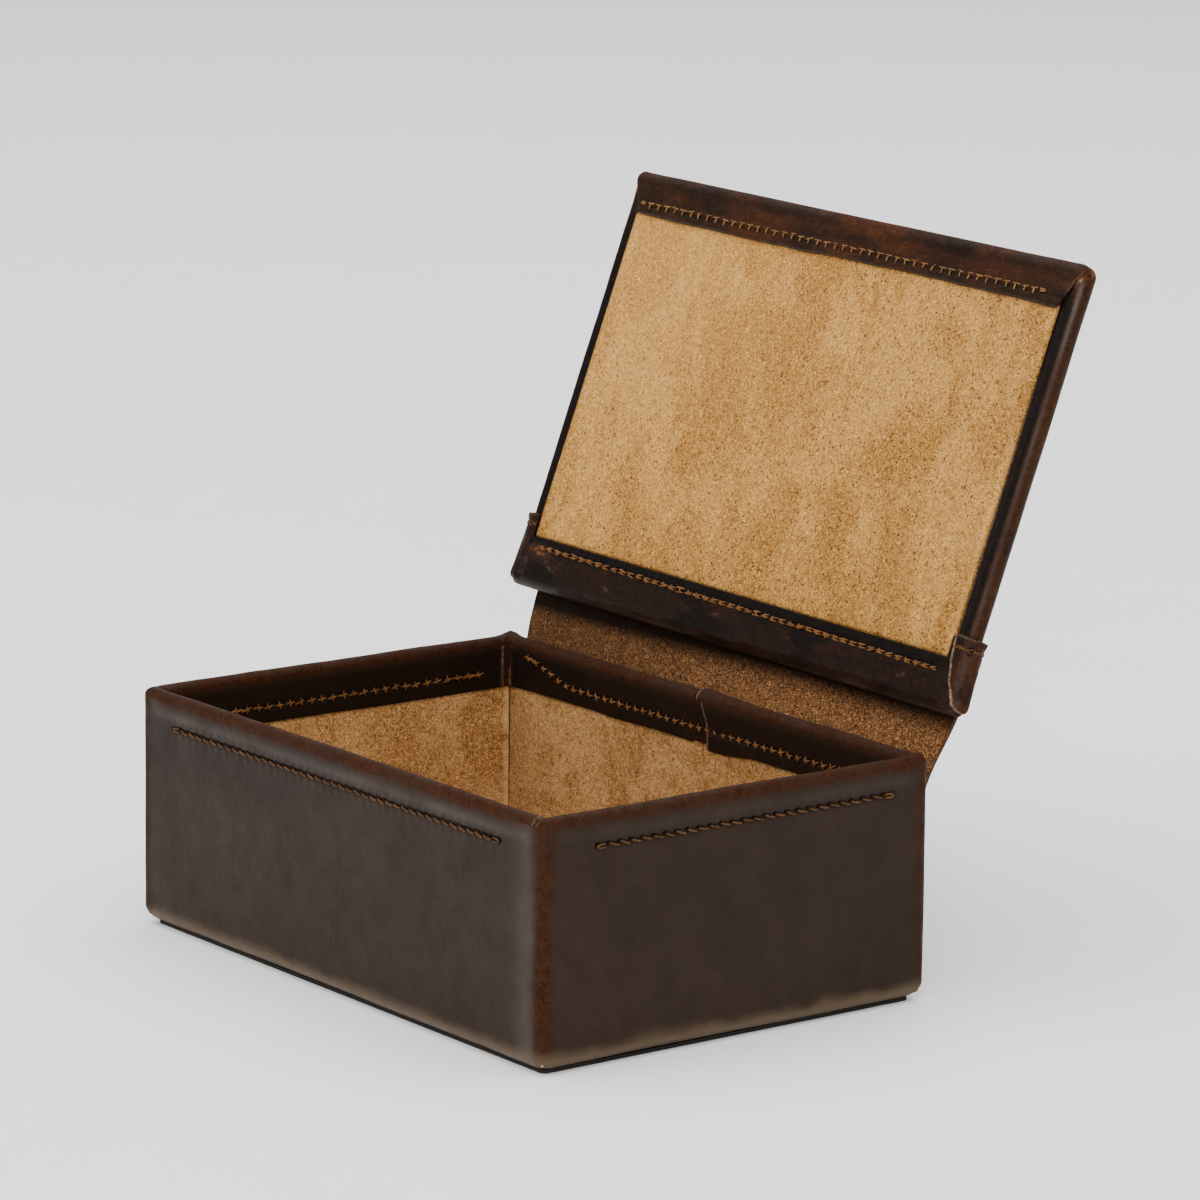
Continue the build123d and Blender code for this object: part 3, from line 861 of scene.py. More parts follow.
def rounded_shell(us, vs, ws, radius, thickness, keep):
    """Outer points, normals, inner points and faces of a rounded slab's skin, open where keep says no."""
    axes = (us, vs, ws)
    grid = np.stack(np.meshgrid(*axes, indexing="ij"), -1)
    surface = np.zeros(grid.shape[:3], bool)
    surface[[0, -1]] = surface[:, [0, -1]] = surface[:, :, [0, -1]] = True
    index = np.cumsum(surface).reshape(surface.shape) - 1
    sharp = grid[surface]
    quads = []
    for axis in range(3):
        for end, turned in ((0, axis != 1), (-1, axis == 1)):
            sheet = np.take(index, end, axis=axis)
            quad = np.stack([sheet[:-1, :-1], sheet[1:, :-1], sheet[1:, 1:], sheet[:-1, 1:]], -1)
            quads.append(quad.reshape(-1, 4)[:, :: -1 if turned else 1])
    quads = np.concatenate(quads)
    outer, normal = on_slab(sharp, [a[0] for a in axes], [a[-1] for a in axes], radius)
    quads = quads[keep(sharp[quads].mean(axis=1))]
    return outer, normal, outer - normal * thickness, quads


def shell_piece(name, outer, inner, quads, node, marks):
    """A piece of the lid's leather from its outer and inner points, joined along every open border."""
    count = len(outer)
    edges = np.concatenate([quads[:, [k, (k + 1) % 4]] for k in range(4)])
    _, first, seen = np.unique(np.sort(edges, axis=1), axis=0, return_index=True, return_counts=True)
    border = edges[first[seen == 1]]
    band = np.stack([border[:, 1], border[:, 0], border[:, 0] + count, border[:, 1] + count], -1)
    faces = np.concatenate([quads, quads[:, ::-1] + count, band])
    used = np.unique(faces)
    renumber = -np.ones(2 * count, int)
    renumber[used] = np.arange(len(used))
    points = lid_place(np.concatenate([outer, inner])[used])
    marks = {mark: np.concatenate([values, np.zeros_like(values)])[used] for mark, values in marks.items()}
    make_piece(name, points, renumber[faces], LEATHER_LID, "lid", node, marks)


def build_lid_cover():
    """The lid's leather: outer face, full-round sides and front, and the frame round the suede."""
    flat_half = LID_HALF - EDGE_STRIP
    us = lines((-LID_HALF, -flat_half, 0.5), (-flat_half, flat_half, 1.0), (flat_half, LID_HALF, 0.5))
    us = np.unique(np.concatenate([us, SUEDE_SPAN]))
    flat_end = LID_DEPTH - EDGE_STRIP
    vs = lines((0, 5, 0.7), (5, 126, 1.3), (126, flat_end, 0.42), (flat_end, LID_DEPTH, 0.5))
    vs = np.unique(np.concatenate([vs, [SUEDE_REAR, FLAP_EDGE]]))
    ws = lines((0, LID_THICKNESS, 0.5))

    def keep(middle):
        window = (outside_suede(middle[:, 0]) < 0) & (middle[:, 1] > SUEDE_REAR) & (middle[:, 1] < FLAP_EDGE)
        return ~(window & (middle[:, 2] < 0.01))

    outer, normal, inner, quads = rounded_shell(us, vs, ws, LID_ROLL, LEATHER, keep)
    u, v, _ = outer.T
    level = normal[:, 2]
    out = 0.14 * fractal(outer, 32, 3, 51) + 0.03 * fractal(outer, 6, 2, 52)
    dent, dark = seam_dent(u, v - FRONT_SEAM, row_centres(*FRONT_ROW))
    on_top = level > 0.9
    out -= np.where(on_top, dent, 0)
    frame_side = outside_suede(u)
    lined = level < 0.2
    strip = lined * (frame_side > -0.01)
    sink = 1.25 * smooth(frame_side, 4.6, 0.2) * strip
    crease = 0.12 * bump(frame_side - 3.0, 1.2) * fractal(outer * [0.2, 1, 1], 5, 3, 55) * lined
    moved = outer + normal * out[:, None]
    moved[:, 2] += sink + crease
    inner[:, 2] = np.where(sink > 0, most(inner[:, 2], moved[:, 2] + 0.4), inner[:, 2])
    corner = bump(np.hypot(LID_HALF - np.abs(u) - 2.5, LID_DEPTH - v - 3.5), 5.5) * (level < 0.6)
    crumple = fractal(outer * [1, 0.6, 1], 2.6, 3, 57)
    moved += normal * (0.6 * corner * crumple * smooth(level, 0.2, -0.6))[:, None]
    wander = fractal(outer, 13, 3, 56)
    turn = smooth(1 - np.abs(level), 0.25, 0.8)
    rub = turn * (0.38 + 0.35 * wander) + corner * (0.8 + 1.2 * crumple)
    # Painted brown highlight along the side rolls' crest
    rub = unit(rub + 0.35 * bump(level + 0.66, 0.25) * (frame_side > 0))
    # The lined strip beside the suede darkened, and the seam's painted shade on the outer face
    shade_and_stain = most(0.97 * smooth(level, -0.8, -0.95) * strip * (1 - corner), np.where(on_top, dark, 0))
    # Painted shade in the crumpled corner's hollows
    shade_and_stain = most(shade_and_stain, 0.9 * corner * smooth(crumple, -0.1, -0.5))
    raw = 0.4 * bump(frame_side - 0.3, 0.3) * strip * smooth(u, 0, 10) * smooth(v, 120, 90)
    raw = most(raw, 0.5 * corner * smooth(crumple, 0.25, 0.6) * smooth(level, 0.3, -0.3))
    # Painted highlight along the side rolls' crest, strongest near the front corners
    painted_sheen = (0.1 + 0.38 * smooth(v, 112, 136)) * bump(level + 0.7, 0.16) * (frame_side > 0)
    painted_sheen = painted_sheen * smooth(v, LID_DEPTH - 3, LID_DEPTH - 8) * (0.8 + 0.5 * wander)
    marks = {"rub": rub, "painted_sheen": unit(painted_sheen), "shade_and_stain": shade_and_stain * (1 - painted_sheen), "raw": raw}
    shell_piece("lid_leather", moved, inner, quads, "lid_cover", marks)


def build_front_flap():
    """The cover's front edge turned over the suede and sewn down, cut off at a slant at both ends."""
    flat = np.arange(FLAP_EDGE - 0.6, LID_DEPTH - 0.2, 0.4)
    rise = np.linspace(0, LID_THICKNESS / 2, 8)
    v = np.concatenate([flat, np.full(len(rise), LID_DEPTH)])
    w = np.concatenate([np.zeros(len(flat)), rise])
    end = FLAP_CORNER + (np.minimum(v, LID_DEPTH - 0.8) - FLAP_EDGE) * FLAP_SLANT
    share = np.linspace(-1, 1, 330)
    share = share + 0.25 * share * (1 - share**2) * np.abs(share)
    sharp = xyz(share[None, :] * end[:, None], v[:, None], w[:, None])
    u, along = sharp[..., 0], sharp[..., 1]
    base, normal = on_slab(sharp, [-LID_HALF, 0, 0], [LID_HALF, LID_DEPTH, LID_THICKNESS], LID_ROLL)
    to_end = (1 - np.abs(share[None, :])) * end[:, None]
    to_edge = np.broadcast_to((v - FLAP_EDGE + 0.6)[:, None], u.shape)
    thick = 1.0 * smooth(w, LID_THICKNESS / 2, 0.6)[:, None] * np.ones_like(u) + 0.06
    rounding = smooth(np.minimum(to_edge, to_end + 0.25), 0.0, 0.9)
    thick = thick * (0.42 + 0.58 * rounding) + 0.09 * fractal(sharp, 14, 3, 62)
    crumple = fractal(sharp, 3.2, 3, 64)
    thick = thick + 0.35 * bump(to_end - 3.0, 3.0) * bump(along - LID_DEPTH + 3, 6) * crumple
    dent, dark = seam_dent(-u, FRONT_SEAM - 0.7 - along, row_centres(*FRONT_ROW), 0.5, 0.3, 0.0)
    thick = np.clip(thick - 0.8 * dent, 0.08, 1.15)
    top = base + normal * thick[..., None]
    wavy = 0.5 * fractal(sharp * [1, 0, 0], 17, 3, 61) * smooth(to_edge, 3, 0)
    top[..., 1] += wavy
    under = base - normal * 0.05
    under[..., 1] += wavy
    rub = 0.3 + 0.55 * fractal(sharp * [0.3, 1, 1], 5, 4, 63)
    rub = unit(rub + 0.3 * smooth(along, LID_DEPTH - 4, LID_DEPTH))
    cut_end = 0.2 * smooth(to_end, 0.5, 0.1) * smooth(v, 134, 143)[:, None]
    raw = most(0.15 * smooth(to_edge, 0.7, 0.1), cut_end)
    streak = 0.5 * smooth(fractal(sharp * [0.25, 1, 1], 6, 4, 65), 0.1, 0.6)
    # Dark streaks, the seam's painted shade, and painted shade along the cut edge over the suede
    dark = most(dark, streak + 0.4 * smooth(to_edge, 1.2, 0.2))
    marks = {"rub": (rub, 0.3), "shade_and_stain": (0.8 * dark, 0.5), "raw": (raw, 0.4)}
    top, under = lid_place(top), lid_place(under)
    sheet_piece("lid_front_flap", top, under, LEATHER_LID, "lid", None, marks)


def binding_sheets():
    """The rear binding's plain outer and inner faces, and where on the lid each of its points lies."""
    flat_half, out_half = LID_HALF - EDGE_STRIP, LID_HALF + BINDING
    us = lines((-out_half, -flat_half, 0.34), (-flat_half, flat_half, 0.9), (flat_half, out_half, 0.34))
    us = np.unique(np.concatenate([us, SUEDE_SPAN]))
    vs = lines((-1, 3.2, 0.45), (3.2, SUEDE_REAR, 0.42), (SUEDE_REAR, BINDING_REACH, 0.5),
               (BINDING_REACH, 60, 36))
    ws = lines((-BINDING, LID_THICKNESS + BINDING, 0.5))

    def keep(middle):
        beyond = middle[:, 1] > BINDING_REACH
        window = (outside_suede(middle[:, 0]) < 0) & (middle[:, 1] > SUEDE_REAR) & (middle[:, 2] < -0.9)
        return ~(beyond | window)

    outer, normal, inner, quads = rounded_shell(us, vs, ws, LID_ROLL + BINDING, BINDING_SHEET, keep)
    u, v, _ = outer.T
    level = normal[:, 2]

    # The two sleeves: the leather's doubled ends, which start past this line and stand out a little
    sleeve_edge = SLEEVE_INNER + 0.09 * np.maximum(BINDING_REACH - v, 0) + 0.26 * np.maximum(16.5 - v, 0)
    past = np.abs(u) - sleeve_edge - 0.3 * fractal(outer * [0, 1, 0], 5, 2, 73)
    return SimpleNamespace(outer=outer, normal=normal, inner=inner, quads=quads, level=level,
                           lined=level < -0.9, facing=level < 0.25, past=past,
                           sleeve=smooth(past, -0.35, 0.35))


def raise_binding(skin):
    """How far the leather stands out: its own waves, the seam's dent and the puckered, flared sleeves."""
    u, v, _ = skin.outer.T
    out = -0.22 + 0.12 * fractal(skin.outer, 24, 3, 71) + 0.05 * fractal(skin.outer, 5, 2, 72)
    seam_line = REAR_SEAM + REAR_SEAM_SKEW * u
    dent, skin.dark = seam_dent(-u, seam_line - v, row_centres(*REAR_ROW), 0.45, 0.35, 0.0)
    out -= np.where(skin.lined, np.minimum(dent, 0.6), 0)
    out += 0.16 * bump(u + 0.3, 1.0) * skin.lined
    free = smooth(1 + skin.level, 0, 0.35)
    out += (0.3 + 0.55 * free) * skin.sleeve - 0.25 * bump(skin.past + 1.1, 1.1) * skin.lined
    skin.pucker = fractal(skin.outer * [1, 0.55, 1], 3.4, 3, 75)
    folds = 0.26 * skin.pucker - 0.3 * unit(bump(skin.pucker + 0.35, 0.14))
    out += folds * skin.sleeve * smooth(v, 1, 5) * (0.3 + 0.7 * free)
    flare = smooth(v, SIDE_SEAM, BINDING_REACH - 0.4)
    out += (0.35 * flare * free - 0.4 * bump(v - BINDING_REACH + 3.4, 0.8)) * skin.sleeve
    return np.clip(out, -0.8, 1.0)


def widen_binding(skin, out):
    """Squares the binding's rear corners and widens both its faces a little towards them."""
    u, v, _ = skin.outer.T
    side = np.abs(skin.normal[:, 0])
    spread = np.sqrt(skin.normal[:, 0] ** 2 + skin.level ** 2 + 0.08 * skin.normal[:, 1] ** 2 + 1e-9)
    widened = (LID_ROLL + BINDING + out) * (side / spread - side) * np.sign(u) * (skin.normal[:, 1] < 0)
    widened += 0.7 * smooth(v, 11, 1) * smooth(np.abs(u), 104, 109) * np.sign(u) * (skin.level < 0.9)
    skin.moved[:, 0] += widened
    skin.inner[:, 0] += 0.9 * widened


def binding_shape():
    """The rear binding's two faces, and the places on it that its wear follows."""
    skin = binding_sheets()
    u, v, _ = skin.outer.T
    out = raise_binding(skin)
    skin.moved = skin.outer + skin.normal * out[:, None]

    # The underside is pressed in where it meets the rim of the shut box
    pressed = 0.85 * smooth(np.abs(u), 103.2, 105.8) + 0.45 * bump(u - 2, 9)
    skin.moved[:, 2] = most(skin.moved[:, 2], pressed * smooth(v, 10, 6.5) - RIM_CLEAR)
    widen_binding(skin, out)
    skin.moved[:, 1] += 0.55 * fractal(skin.outer * [1, 0, 1], 7, 3, 74) * skin.sleeve * smooth(v, 20, 24)

    # Beside the suede the lined face sinks to meet it
    frame_side = outside_suede(u)
    beside = frame_side > -0.01
    sunk = 0.9 * smooth(frame_side, 2.2, -0.2) * skin.facing * (v > SUEDE_REAR - 0.1) * beside
    skin.moved[:, 2] += sunk
    return skin


def binding_wear(skin):
    """Marks of the rear binding: darker on the lined face, painted shade round its seam, beside the sleeves
    and in their creases, painted highlights on the rear crest and the sleeves, rubbed on the turns and the
    sleeves, scratched.
    """
    outer, level, past, sleeve, lined, facing = (
        skin.outer, skin.level, skin.past, skin.sleeve, skin.lined, skin.facing)
    u, v, w = outer.T
    wander = fractal(outer, 11, 4, 76)
    turn = smooth(1 - np.abs(level), 0.2, 0.8)
    rub = 0.1 + 0.3 * turn + 0.3 * np.maximum(wander, 0) + (0.5 + 0.5 * skin.pucker) * sleeve
    nicks = np.zeros_like(u)
    for nick_u, nick_v, lean in NICKS:
        across = v - nick_v - lean * (u - nick_u)
        nicks = most(nicks, bump(np.hypot((u - nick_u) / 1.9, across / 0.5), 1.0) * (w < 6))
    worn = bump(np.hypot((u + 99.5) / 5.5, (v - REAR_SEAM + 0.2) / 1.9), 0.9) * lined
    shade_and_stain = np.where(lined, 0.6 * smooth(v, REAR_SEAM - 1.0, REAR_SEAM + 1.2) * (1 - sleeve) + 0.52, 0.3)
    shade_and_stain = shade_and_stain + 0.4 * smooth(fractal(outer * [0.3, 1, 1], 6, 4, 78), 0.1, 0.6)
    # The seam's painted shade, and a painted shadow beside the sleeves' edges
    shade_and_stain = most(shade_and_stain, np.where(lined, skin.dark, 0), 0.85 * bump(past + 0.9, 0.6) * facing)
    # Painted shade in the sleeves' creases
    shade_and_stain = most(shade_and_stain, 0.7 * bump(skin.pucker + 0.35, 0.16) * sleeve)
    ragged = 0.65 + 0.5 * fractal(outer, 1.8, 2, 77)
    raw = bump(past - 0.1, 0.42) * facing * ragged * smooth(u, 0, 20)
    raw = raw + 0.22 * worn * (0.6 + 0.9 * fractal(outer, 1.4, 3, 79))
    nicks = nicks * unit(0.55 + 1.1 * fractal(outer, 1.5, 3, 80))
    raw = most(raw, 0.2 * nicks)
    rub = rub + 0.9 * most(worn, nicks)
    shade_and_stain = shade_and_stain * (1 - 0.8 * most(worn, nicks))
    raw = most(raw, 0.3 * ragged * smooth(v, BINDING_REACH - 0.7, BINDING_REACH - 0.3) * sleeve)
    mouth = bump(v + 0.55, 0.5) * smooth(past, -0.2, 0.6) * (level < 0.5)
    mouth = mouth * smooth(LID_HALF + 1.2 - np.abs(u), 0, 1.5)
    raw = unit(most(raw, 0.85 * mouth * ragged))
    # Painted highlights along the rear crest and on the sleeves
    painted_sheen = 0.28 * bump(level + 0.55, 0.22) * (v < 5) * (0.7 + 0.5 * wander)
    painted_sheen = most(painted_sheen, 0.11 * bump(level + 0.6, 0.25) * sleeve * (1 + skin.pucker))
    return {"rub": unit(rub), "painted_sheen": unit(painted_sheen), "shade_and_stain": unit(shade_and_stain) * (1 - raw), "raw": raw}


def build_rear_binding():
    """Leather bound round the lid's rear edge and the rear ends of its sides."""
    skin = binding_shape()
    shell_piece("rear_binding", skin.moved, skin.inner, skin.quads, "lid_rear_binding", binding_wear(skin))


# ---- Hinge strap ----


def lid_at(world_x, back, height):
    """Point of the lid at this depth and height whose X in the shared frame is world_x."""
    start = lid_place([0.0, back, height])
    across = lid_direction([1.0, 0, 0])
    return start + across * ((world_x - start[0]) / across[0])


def strap_line(world_x, stand_off, shares):
    """The strap's face at world_x: up the back wall, free behind the gap, then up the lid."""
    wall_y = HALF["left"] + stand_off
    high = LID_THICKNESS + BINDING + stand_off
    low = np.array([world_x, wall_y, STRAP_LOW])
    leave = np.array([world_x, wall_y, STRAP_FREE])
    meet = lid_at(world_x, STRAP_MEET, high)
    end = lid_at(world_x, BINDING_REACH, high)
    chord = np.linalg.norm(meet - leave)
    rise = np.array([0, 0, 1.0]) * chord
    slope = (end - meet) / np.linalg.norm(end - meet) * chord
    t = shares[shares <= 1][:, None]
    first = low + (leave - low) * t
    t = shares[(shares > 1) & (shares < 2)][:, None] - 1
    spline = ((2 * t**3 - 3 * t**2 + 1) * leave + (t**3 - 2 * t**2 + t) * rise
              + (3 * t**2 - 2 * t**3) * meet + (t**3 - t**2) * slope)
    t = shares[shares >= 2][:, None] - 2
    last = meet + (end - meet) * t
    return np.concatenate([first, spline, last])


def to_border(count):
    """For each line of a grid, how many lines it is from the nearer border."""
    return np.minimum(np.arange(count), count - 1 - np.arange(count))


def build_strap():
    """Wide leather strap, flesh side to the box, sewn to the back wall and to the lid."""
    shares = np.concatenate([np.linspace(0, 1, 32), np.linspace(1, 2, 62)[1:-1], np.linspace(2, 3, 34)])
    xs = np.linspace(-STRAP_HALF, STRAP_HALF, 250)
    near, far = (np.stack([strap_line(x, stand_off, shares) for x in xs], 1)
                 for stand_off in (STRAP_GAP, STRAP_GAP + LEATHER))
    free = smooth(shares, 1.0, 1.3) * smooth(shares, 2.0, 1.7)
    sway = (0.35 * fractal(near, 40, 2, 81) * free[:, None])[..., None]
    outward = normed(far - near)
    near = near + outward * sway
    far = far + outward * sway
    ragged = 0.35 * fractal(xyz(shares * 9, 0, 0), 1.6, 3, 82)
    near[:, 0, 0] += ragged - 0.15
    far[:, 0, 0] += ragged * 0.6
    dent = np.zeros(near.shape[:2])
    dark = np.zeros_like(dent)
    depth = (shares[:, None] - 2) * (BINDING_REACH - STRAP_MEET) + STRAP_MEET
    seams = [(far[..., 2] - height, shares <= 1) for height in BACK_SEAM_ROWS]
    for across, sewn in seams + [(depth - STRAP_SEAM, shares >= 2)]:
        pulled, stained = seam_dent(-far[..., 0], across, row_centres(*STRAP_ROW), 0.35, 0.5, 0.3)
        dent += np.where(sewn[:, None], pulled, 0)
        dark = most(dark, np.where(sewn[:, None], stained, 0))
    far = far - outward * dent[..., None] + outward * (0.05 * fractal(far, 20, 3, 83))[..., None]
    raw = unit(1 - to_border(len(xs))[None, :] / 1.5) + unit(1 - to_border(len(shares))[:, None] / 1.5)
    raw = unit(0.6 * raw)
    shadow = 0.97 * smooth(shares, 1.66, 1.91)[:, None] + 0.48 * smooth(near[..., 0], 40, -100)
    marks = {"grain": (0.0, 1.0), "raw": (raw, raw * 0.5), "shade_and_stain": (np.clip(shadow, 0, 0.96), dark * 0.9)}
    piece = sheet_piece("strap_hide", near, far, STRAP_HIDE, None, "hinge_strap", marks)
    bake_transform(piece)


# ---- Thread ----

# Tilt in degrees, length and offset of the two threads that cross in each stitch of a seam's underside
BAND_STROKES = ((-8, 4.4, 0.0), (76, 2.9, 0.0), (30, 1.9, 0.0))
FLAP_STROKES = ((0, 4.7, 0.35), (84, 2.3, -0.65))
REAR_STROKES = ((1, 4.6, 0.36), (-1, 4.4, -0.4), (-68, 2.1, 0.0))


def twisted(name, paths, ups, material, body, node, radius=THREAD_RADIUS):
    """Two-ply thread along each of many short paths (stitches, points, 3), as closed tubes."""
    paths = np.asarray(paths, float)
    stitches, steps = paths.shape[:2]
    tangent = normed(np.gradient(paths, axis=1))
    aside = normed(np.cross(tangent, np.broadcast_to(np.asarray(ups, float), paths.shape)))
    above = np.cross(aside, tangent)
    strides = np.linalg.norm(np.diff(paths, axis=1), axis=-1)
    run = np.concatenate([np.zeros((stitches, 1)), np.cumsum(strides, 1)], 1)
    theta = np.arange(AROUND) * 2 * math.pi / AROUND
    start = np.arange(stitches)[:, None, None] * 1.3
    lobes = np.cos(2 * (theta[None, None, :] - run[..., None] * TWIST - start))
    taper = np.ones(steps)
    taper[0] = taper[-1] = 0.7
    size = radius * taper[None, :, None] * (0.93 + 0.2 * lobes)
    circle = np.cos(theta)[:, None] * aside[:, :, None] + np.sin(theta)[:, None] * above[:, :, None]
    points = paths[:, :, None] + size[..., None] * circle
    each = grid_faces(steps, AROUND, wrap=True, flip=True).tolist()
    each += [list(range(AROUND)), [(steps - 1) * AROUND + i for i in reversed(range(AROUND))]]
    firsts = [stitch * steps * AROUND for stitch in range(stitches)]
    faces = [[first + index for index in face] for first in firsts for face in each]
    ends = np.zeros(steps)
    ends[:2] = ends[-2:] = 0.8
    grime = np.random.default_rng(stitches).uniform(0, 0.4, (stitches, 1, 1))
    # Painted shade between the plies and at the ends where the thread goes into its holes, with dirt that
    # differs from stitch to stitch
    shade_and_stain = unit(unit(-lobes) * 0.55 + ends[None, :, None] + grime)
    make_piece(name, points, faces, material, body, node, {"shade_and_stain": shade_and_stain})


def arch(share, sunk=0.75, crest=0.30):
    """Height of a stitch over the leather at a share of its length."""
    return crest - (crest + sunk) * np.abs(2 * share - 1) ** 5


def on_wall(side, inset):
    """Gives the points of a wall at this inset, from distances along it and heights."""
    return lambda along, height: wall_point(side, along, inset, height)


def on_lid(level, hand=1, skew=0.0):
    """Gives the points of the lid at this level, from distances across it and from its rear edge."""
    return lambda a, back: lid_place(xyz(hand * a, back + skew * a, level))


def stitch_paths(place, up, centres, across, slant, jitter):
    """Paths of a row of slanted stitches; place(along, across) gives the leather's surface."""
    up = np.asarray(up)
    share = np.linspace(0, 1, 13)
    paths = []
    for middle in centres[1:-1]:
        tilt = math.radians(slant + jitter.normal(0, 3))
        off = (share - 0.5) * (STITCH_LENGTH * (1 + jitter.normal(0, 0.04)))
        a = middle + jitter.normal(0, 0.1) + off * math.cos(tilt)
        z = across + jitter.normal(0, 0.07) + off * math.sin(tilt) - 0.12 * np.sin(share * math.pi)
        paths.append(place(a, z) + arch(share, 0.75, 0.2 + jitter.normal(0, 0.04))[:, None] * up)
    for middle, hand in ((centres[0], -1), (centres[-1], 1)):
        turn = math.radians(155) * (2 * share - 1)
        a = middle + hand * 1.9 * np.cos(turn)
        paths.append(place(a, across + 0.58 * np.sin(turn)) + arch(share, 0.5, 0.2)[:, None] * up)
    return paths


def crossed_paths(place, up, centres, across, jitter, strokes, rise=np.zeros_like, braided=False):
    """A chain of small crosses, as a seam's underside shows, with a knot or a doubled run at both ends."""
    up = np.asarray(up)
    share = np.linspace(0, 1, 9)
    paths = []
    for middle in centres if braided else centres[1:-1]:
        lower = rise(middle)
        for tilt, long, offset in strokes:
            turn = math.radians(tilt + jitter.normal(0, 6))
            off = (share - 0.5) * long * (1 + jitter.normal(0, 0.08))
            a = middle + jitter.normal(0, 0.15) + off * math.cos(turn)
            z = across + lower + offset + jitter.normal(0, 0.13) + off * math.sin(turn)
            paths.append(place(a, z) + arch(share, 0.5, 0.05 if long > 3 else 0.28)[:, None] * up)
    for middle, hand, count in ((centres[0], 1, 8), (centres[-1], -1, 5)):
        for k in range(count if braided else 2):
            if braided:
                a = middle + hand * (k * 1.1 - 1.2) + (share - 0.5) * 2.6 + jitter.normal(0, 0.15)
                z = across + 0.2 * math.cos(2.4 * k) + (share - 0.5) * (1.1 if k % 2 else -0.9)
            else:
                a = middle + hand * 0.3 + (share - 0.5) * 3.2 + jitter.normal(0, 0.2)
                z = across + 0.62 * (k - 0.5) + (share - 0.5) * jitter.normal(0, 0.35)
            paths.append(place(a, z + rise(a)) + arch(share, 0.5, 0.2)[:, None] * up)
    return paths


def side_paths(jitter):
    """Paths and upward directions of the crossed stitches over the lid's two side edges."""
    paths = []
    ups = []
    share = np.linspace(0, 1, 11)
    for hand in (-1, 1):
        for turn in np.radians(np.linspace(-100, 75, 7)):
            for lean in (-0.9, 0.7):
                angle = turn + (share - 0.5) * math.radians(34) + jitter.normal(0, 0.04)
                away = LID_ROLL + BINDING - 0.15 + 0.65 * smooth(1 + np.sin(angle), 0, 0.35)
                away = away + arch(share, 0.7, 0.0)
                inward = LID_HALF - LID_ROLL + away * np.cos(angle)
                level = LID_THICKNESS / 2 + away * np.sin(angle)
                back = SIDE_SEAM + lean * (share - 0.5) * 1.6 + jitter.normal(0, 0.15)
                paths.append(lid_place(xyz(hand * inward, back, level)))
                ups.append(lid_direction(xyz(hand * np.cos(angle), 0, np.sin(angle))))
    return paths, ups


def build_threads():
    """Every seam, each replacing the solid stitches of the same name."""
    jitter = np.random.default_rng(7)
    for side in SIDES:
        out = side_frame(side)[1]
        centres = row_centres(*WALL_ROWS[side])
        outer = stitch_paths(on_wall(side, 0.0), out, centres, SEAM_Z - 0.1, -SLANT, jitter)
        twisted(side + "_seam_thread", outer, out, THREAD, "box", side + "_stitches")
        centres = row_centres(*BAND_ROWS[side])
        inner = crossed_paths(on_wall(side, WALL), -out, centres, BAND_SEAM_Z, jitter, BAND_STROKES,
                              functools.partial(band_rise, side), braided=True)
        twisted(side + "_band_thread", inner, -out, THREAD_TAN, "box", None, BAND_THREAD)
    up = lid_direction([0, 0, 1.0])
    centres = row_centres(*FRONT_ROW)
    outer = stitch_paths(on_lid(LID_THICKNESS), up, centres, FRONT_SEAM + 0.1, SLANT, jitter)
    lined = crossed_paths(on_lid(-0.75), -up, centres, FRONT_SEAM, jitter, FLAP_STROKES)
    twisted("lid_front_thread", outer, up, THREAD, "lid", "lid_front_stitches")
    twisted("lid_flap_thread", lined, -up, THREAD_BRIGHT, "lid", None, FINE_THREAD)
    rear_face = on_lid(0.3 - BINDING, skew=REAR_SEAM_SKEW)
    rear = crossed_paths(rear_face, -up, row_centres(*REAR_ROW), REAR_SEAM, jitter, REAR_STROKES)
    twisted("lid_rear_thread", rear, -up, THREAD_TAN, "lid", "lid_rear_stitches", REAR_THREAD)
    sides, ups = side_paths(jitter)
    twisted("lid_side_thread", sides, ups, THREAD, "lid", "lid_side_stitches", FINE_THREAD)
    centres = row_centres(*STRAP_ROW)
    back_up = side_frame("back")[1]
    stand_off = STRAP_GAP + LEATHER
    rows = []
    for height in BACK_SEAM_ROWS:
        rows += stitch_paths(on_wall("back", -stand_off), back_up, centres, height, -SLANT, jitter)
    twisted("strap_box_thread", rows, back_up, THREAD, "box", "strap_box_stitches")
    strap_face = on_lid(LID_THICKNESS + BINDING + stand_off, hand=-1)
    row = stitch_paths(strap_face, up, centres, STRAP_SEAM, SLANT, jitter)
    twisted("strap_lid_thread", row, up, THREAD, "lid", "strap_lid_stitches")


# ---- Camera, light and floor ----

# Camera: azimuth, elevation and roll in degrees, then the place it looks at and its distance in millimetres
CAMERA_TURN = (52.826, 11.786, 0.642)
CAMERA_TARGET = (38.13, 0.0, 125.86)
CAMERA_DISTANCE = 1780.13
CAMERA_LENS = 169.86
CAMERA_SENSOR = 36
# Surround: sine of the height where its brightness starts and stops to change, and the two brightnesses
WORLD_RAMP = (0.05, 0.45, 1.3, 0.2)
# Half-width of the floor in metres
FLOOR_HALF = 6.0
# Soft lights: name, place, width and height in metres, power in watts and colour
LIGHT_AIM = (0, 0, 0.1)
LIGHTS = (
    ("ceiling", (0.0, 0.0, 3.2), (7.0, 7.0), 400, (1, 1, 1)),
    ("key", (-0.5, -1.9, 1.3), (0.9, 0.9), 12, (1, 0.99, 0.97)),
    ("fill", (2.0, -1.45, 1.05), (0.8, 0.7), 26, (1, 1, 1)),
)


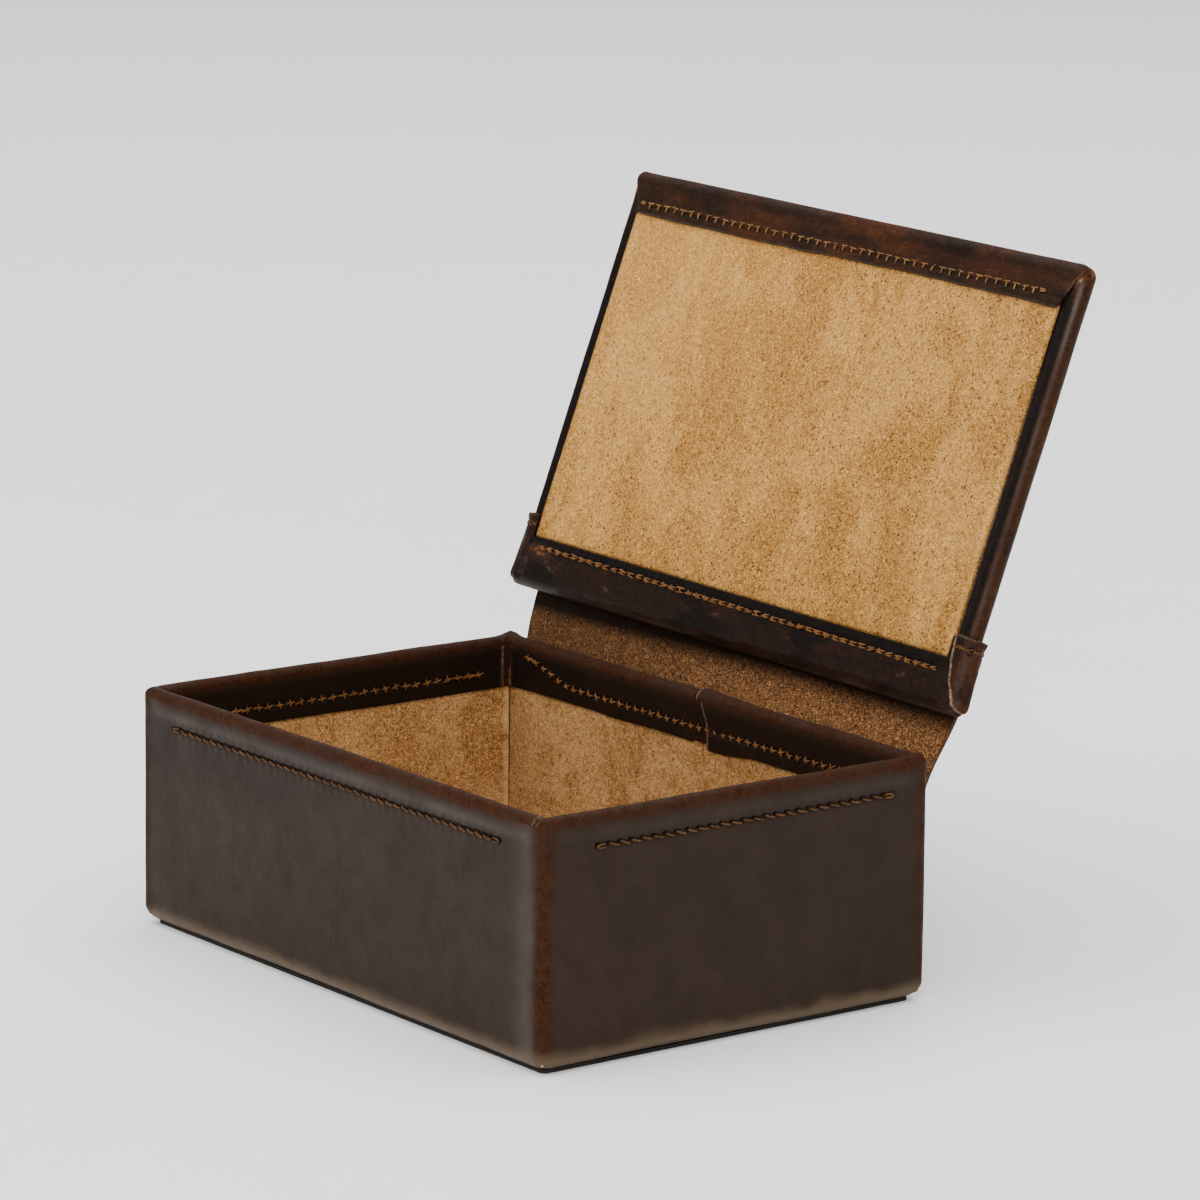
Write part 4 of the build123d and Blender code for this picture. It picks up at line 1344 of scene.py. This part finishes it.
def build_camera():
    """Long lens from the front right, a little above the rim."""
    azimuth, elevation, roll = (math.radians(a) for a in CAMERA_TURN)
    level = math.cos(elevation)
    back = np.array([math.sin(azimuth) * level, -math.cos(azimuth) * level, math.sin(elevation)])
    right = np.array([math.cos(azimuth), math.sin(azimuth), 0])
    up = np.cross(back, right)
    tilted_right = math.cos(roll) * right + math.sin(roll) * up
    tilted_up = -math.sin(roll) * right + math.cos(roll) * up
    camera = bpy.data.cameras.new("camera")
    camera.lens = CAMERA_LENS
    camera.sensor_width = CAMERA_SENSOR
    camera.clip_end = 20
    obj = add_object("camera", camera)
    turn = Matrix((tilted_right, tilted_up, back)).transposed().to_4x4()
    place = Vector((np.array(CAMERA_TARGET) + back * CAMERA_DISTANCE) * MM)
    obj.matrix_world = Matrix.Translation(place) @ turn
    bpy.context.scene.camera = obj


def area_light(name, place, size, power, color):
    """A soft rectangular light that points at the middle of the part."""
    light = bpy.data.lights.new(name, "AREA")
    light.shape = "RECTANGLE"
    light.size, light.size_y = size
    light.energy = power
    light.color = color
    obj = add_object(name, light)
    obj.location = place
    obj.rotation_euler = (Vector(LIGHT_AIM) - Vector(place)).to_track_quat("-Z", "Y").to_euler()


def build_stage():
    """White floor of a photographer's table, soft boxes and a bright surround."""
    corners = [(FLOOR_HALF * x, FLOOR_HALF * y, 0) for x, y in ((-1, -1), (1, -1), (1, 1), (-1, 1))]
    mesh = bpy.data.meshes.new("floor")
    mesh.from_pydata(corners, [], [(0, 1, 2, 3)])
    shader = Shader("floor_white", Specular_IOR_Level=0.2)
    paper = shader.mix(shader.noise(60, 2), (0.93, 0.93, 0.93, 1), (0.96, 0.96, 0.96, 1))
    mesh.materials.append(shader.finish(paper, 0.8))
    floor = add_object("floor", mesh)
    world = bpy.data.worlds.new("surround")
    world.use_nodes = True
    tree = world.node_tree
    split = tree.nodes.new("ShaderNodeSeparateXYZ")
    glow = tree.nodes.new("ShaderNodeMapRange")
    glow.interpolation_type = "SMOOTHSTEP"
    for socket, number in zip(glow.inputs[1:5], WORLD_RAMP):
        socket.default_value = number
    tree.links.new(tree.nodes.new("ShaderNodeTexCoord").outputs["Generated"], split.inputs["Vector"])
    tree.links.new(split.outputs["Z"], glow.inputs["Value"])
    tree.links.new(glow.outputs["Result"], tree.nodes["Background"].inputs["Strength"])
    tree.nodes["Background"].inputs["Color"].default_value = (1.0, 1.0, 1.0, 1)
    bpy.context.scene.world = world
    for light in LIGHTS:
        area_light(*light)


def dress_nodes():
    """Materials of the CAD nodes that stay as they are."""
    boards = ("base_board", "front_board", "right_board", "back_board", "left_board", "lid_board")
    for name in boards + ("base_cover",):
        materials = frame["nodes"][name].data.materials
        materials.clear()
        materials.append(SOLE if name == "base_cover" else BOARD)


build_camera()
build_stage()
dress_nodes()
build_wall_skin()
build_box_linings()
build_lid_lining()
build_lid_cover()
build_front_flap()
build_rear_binding()
build_strap()
build_threads()
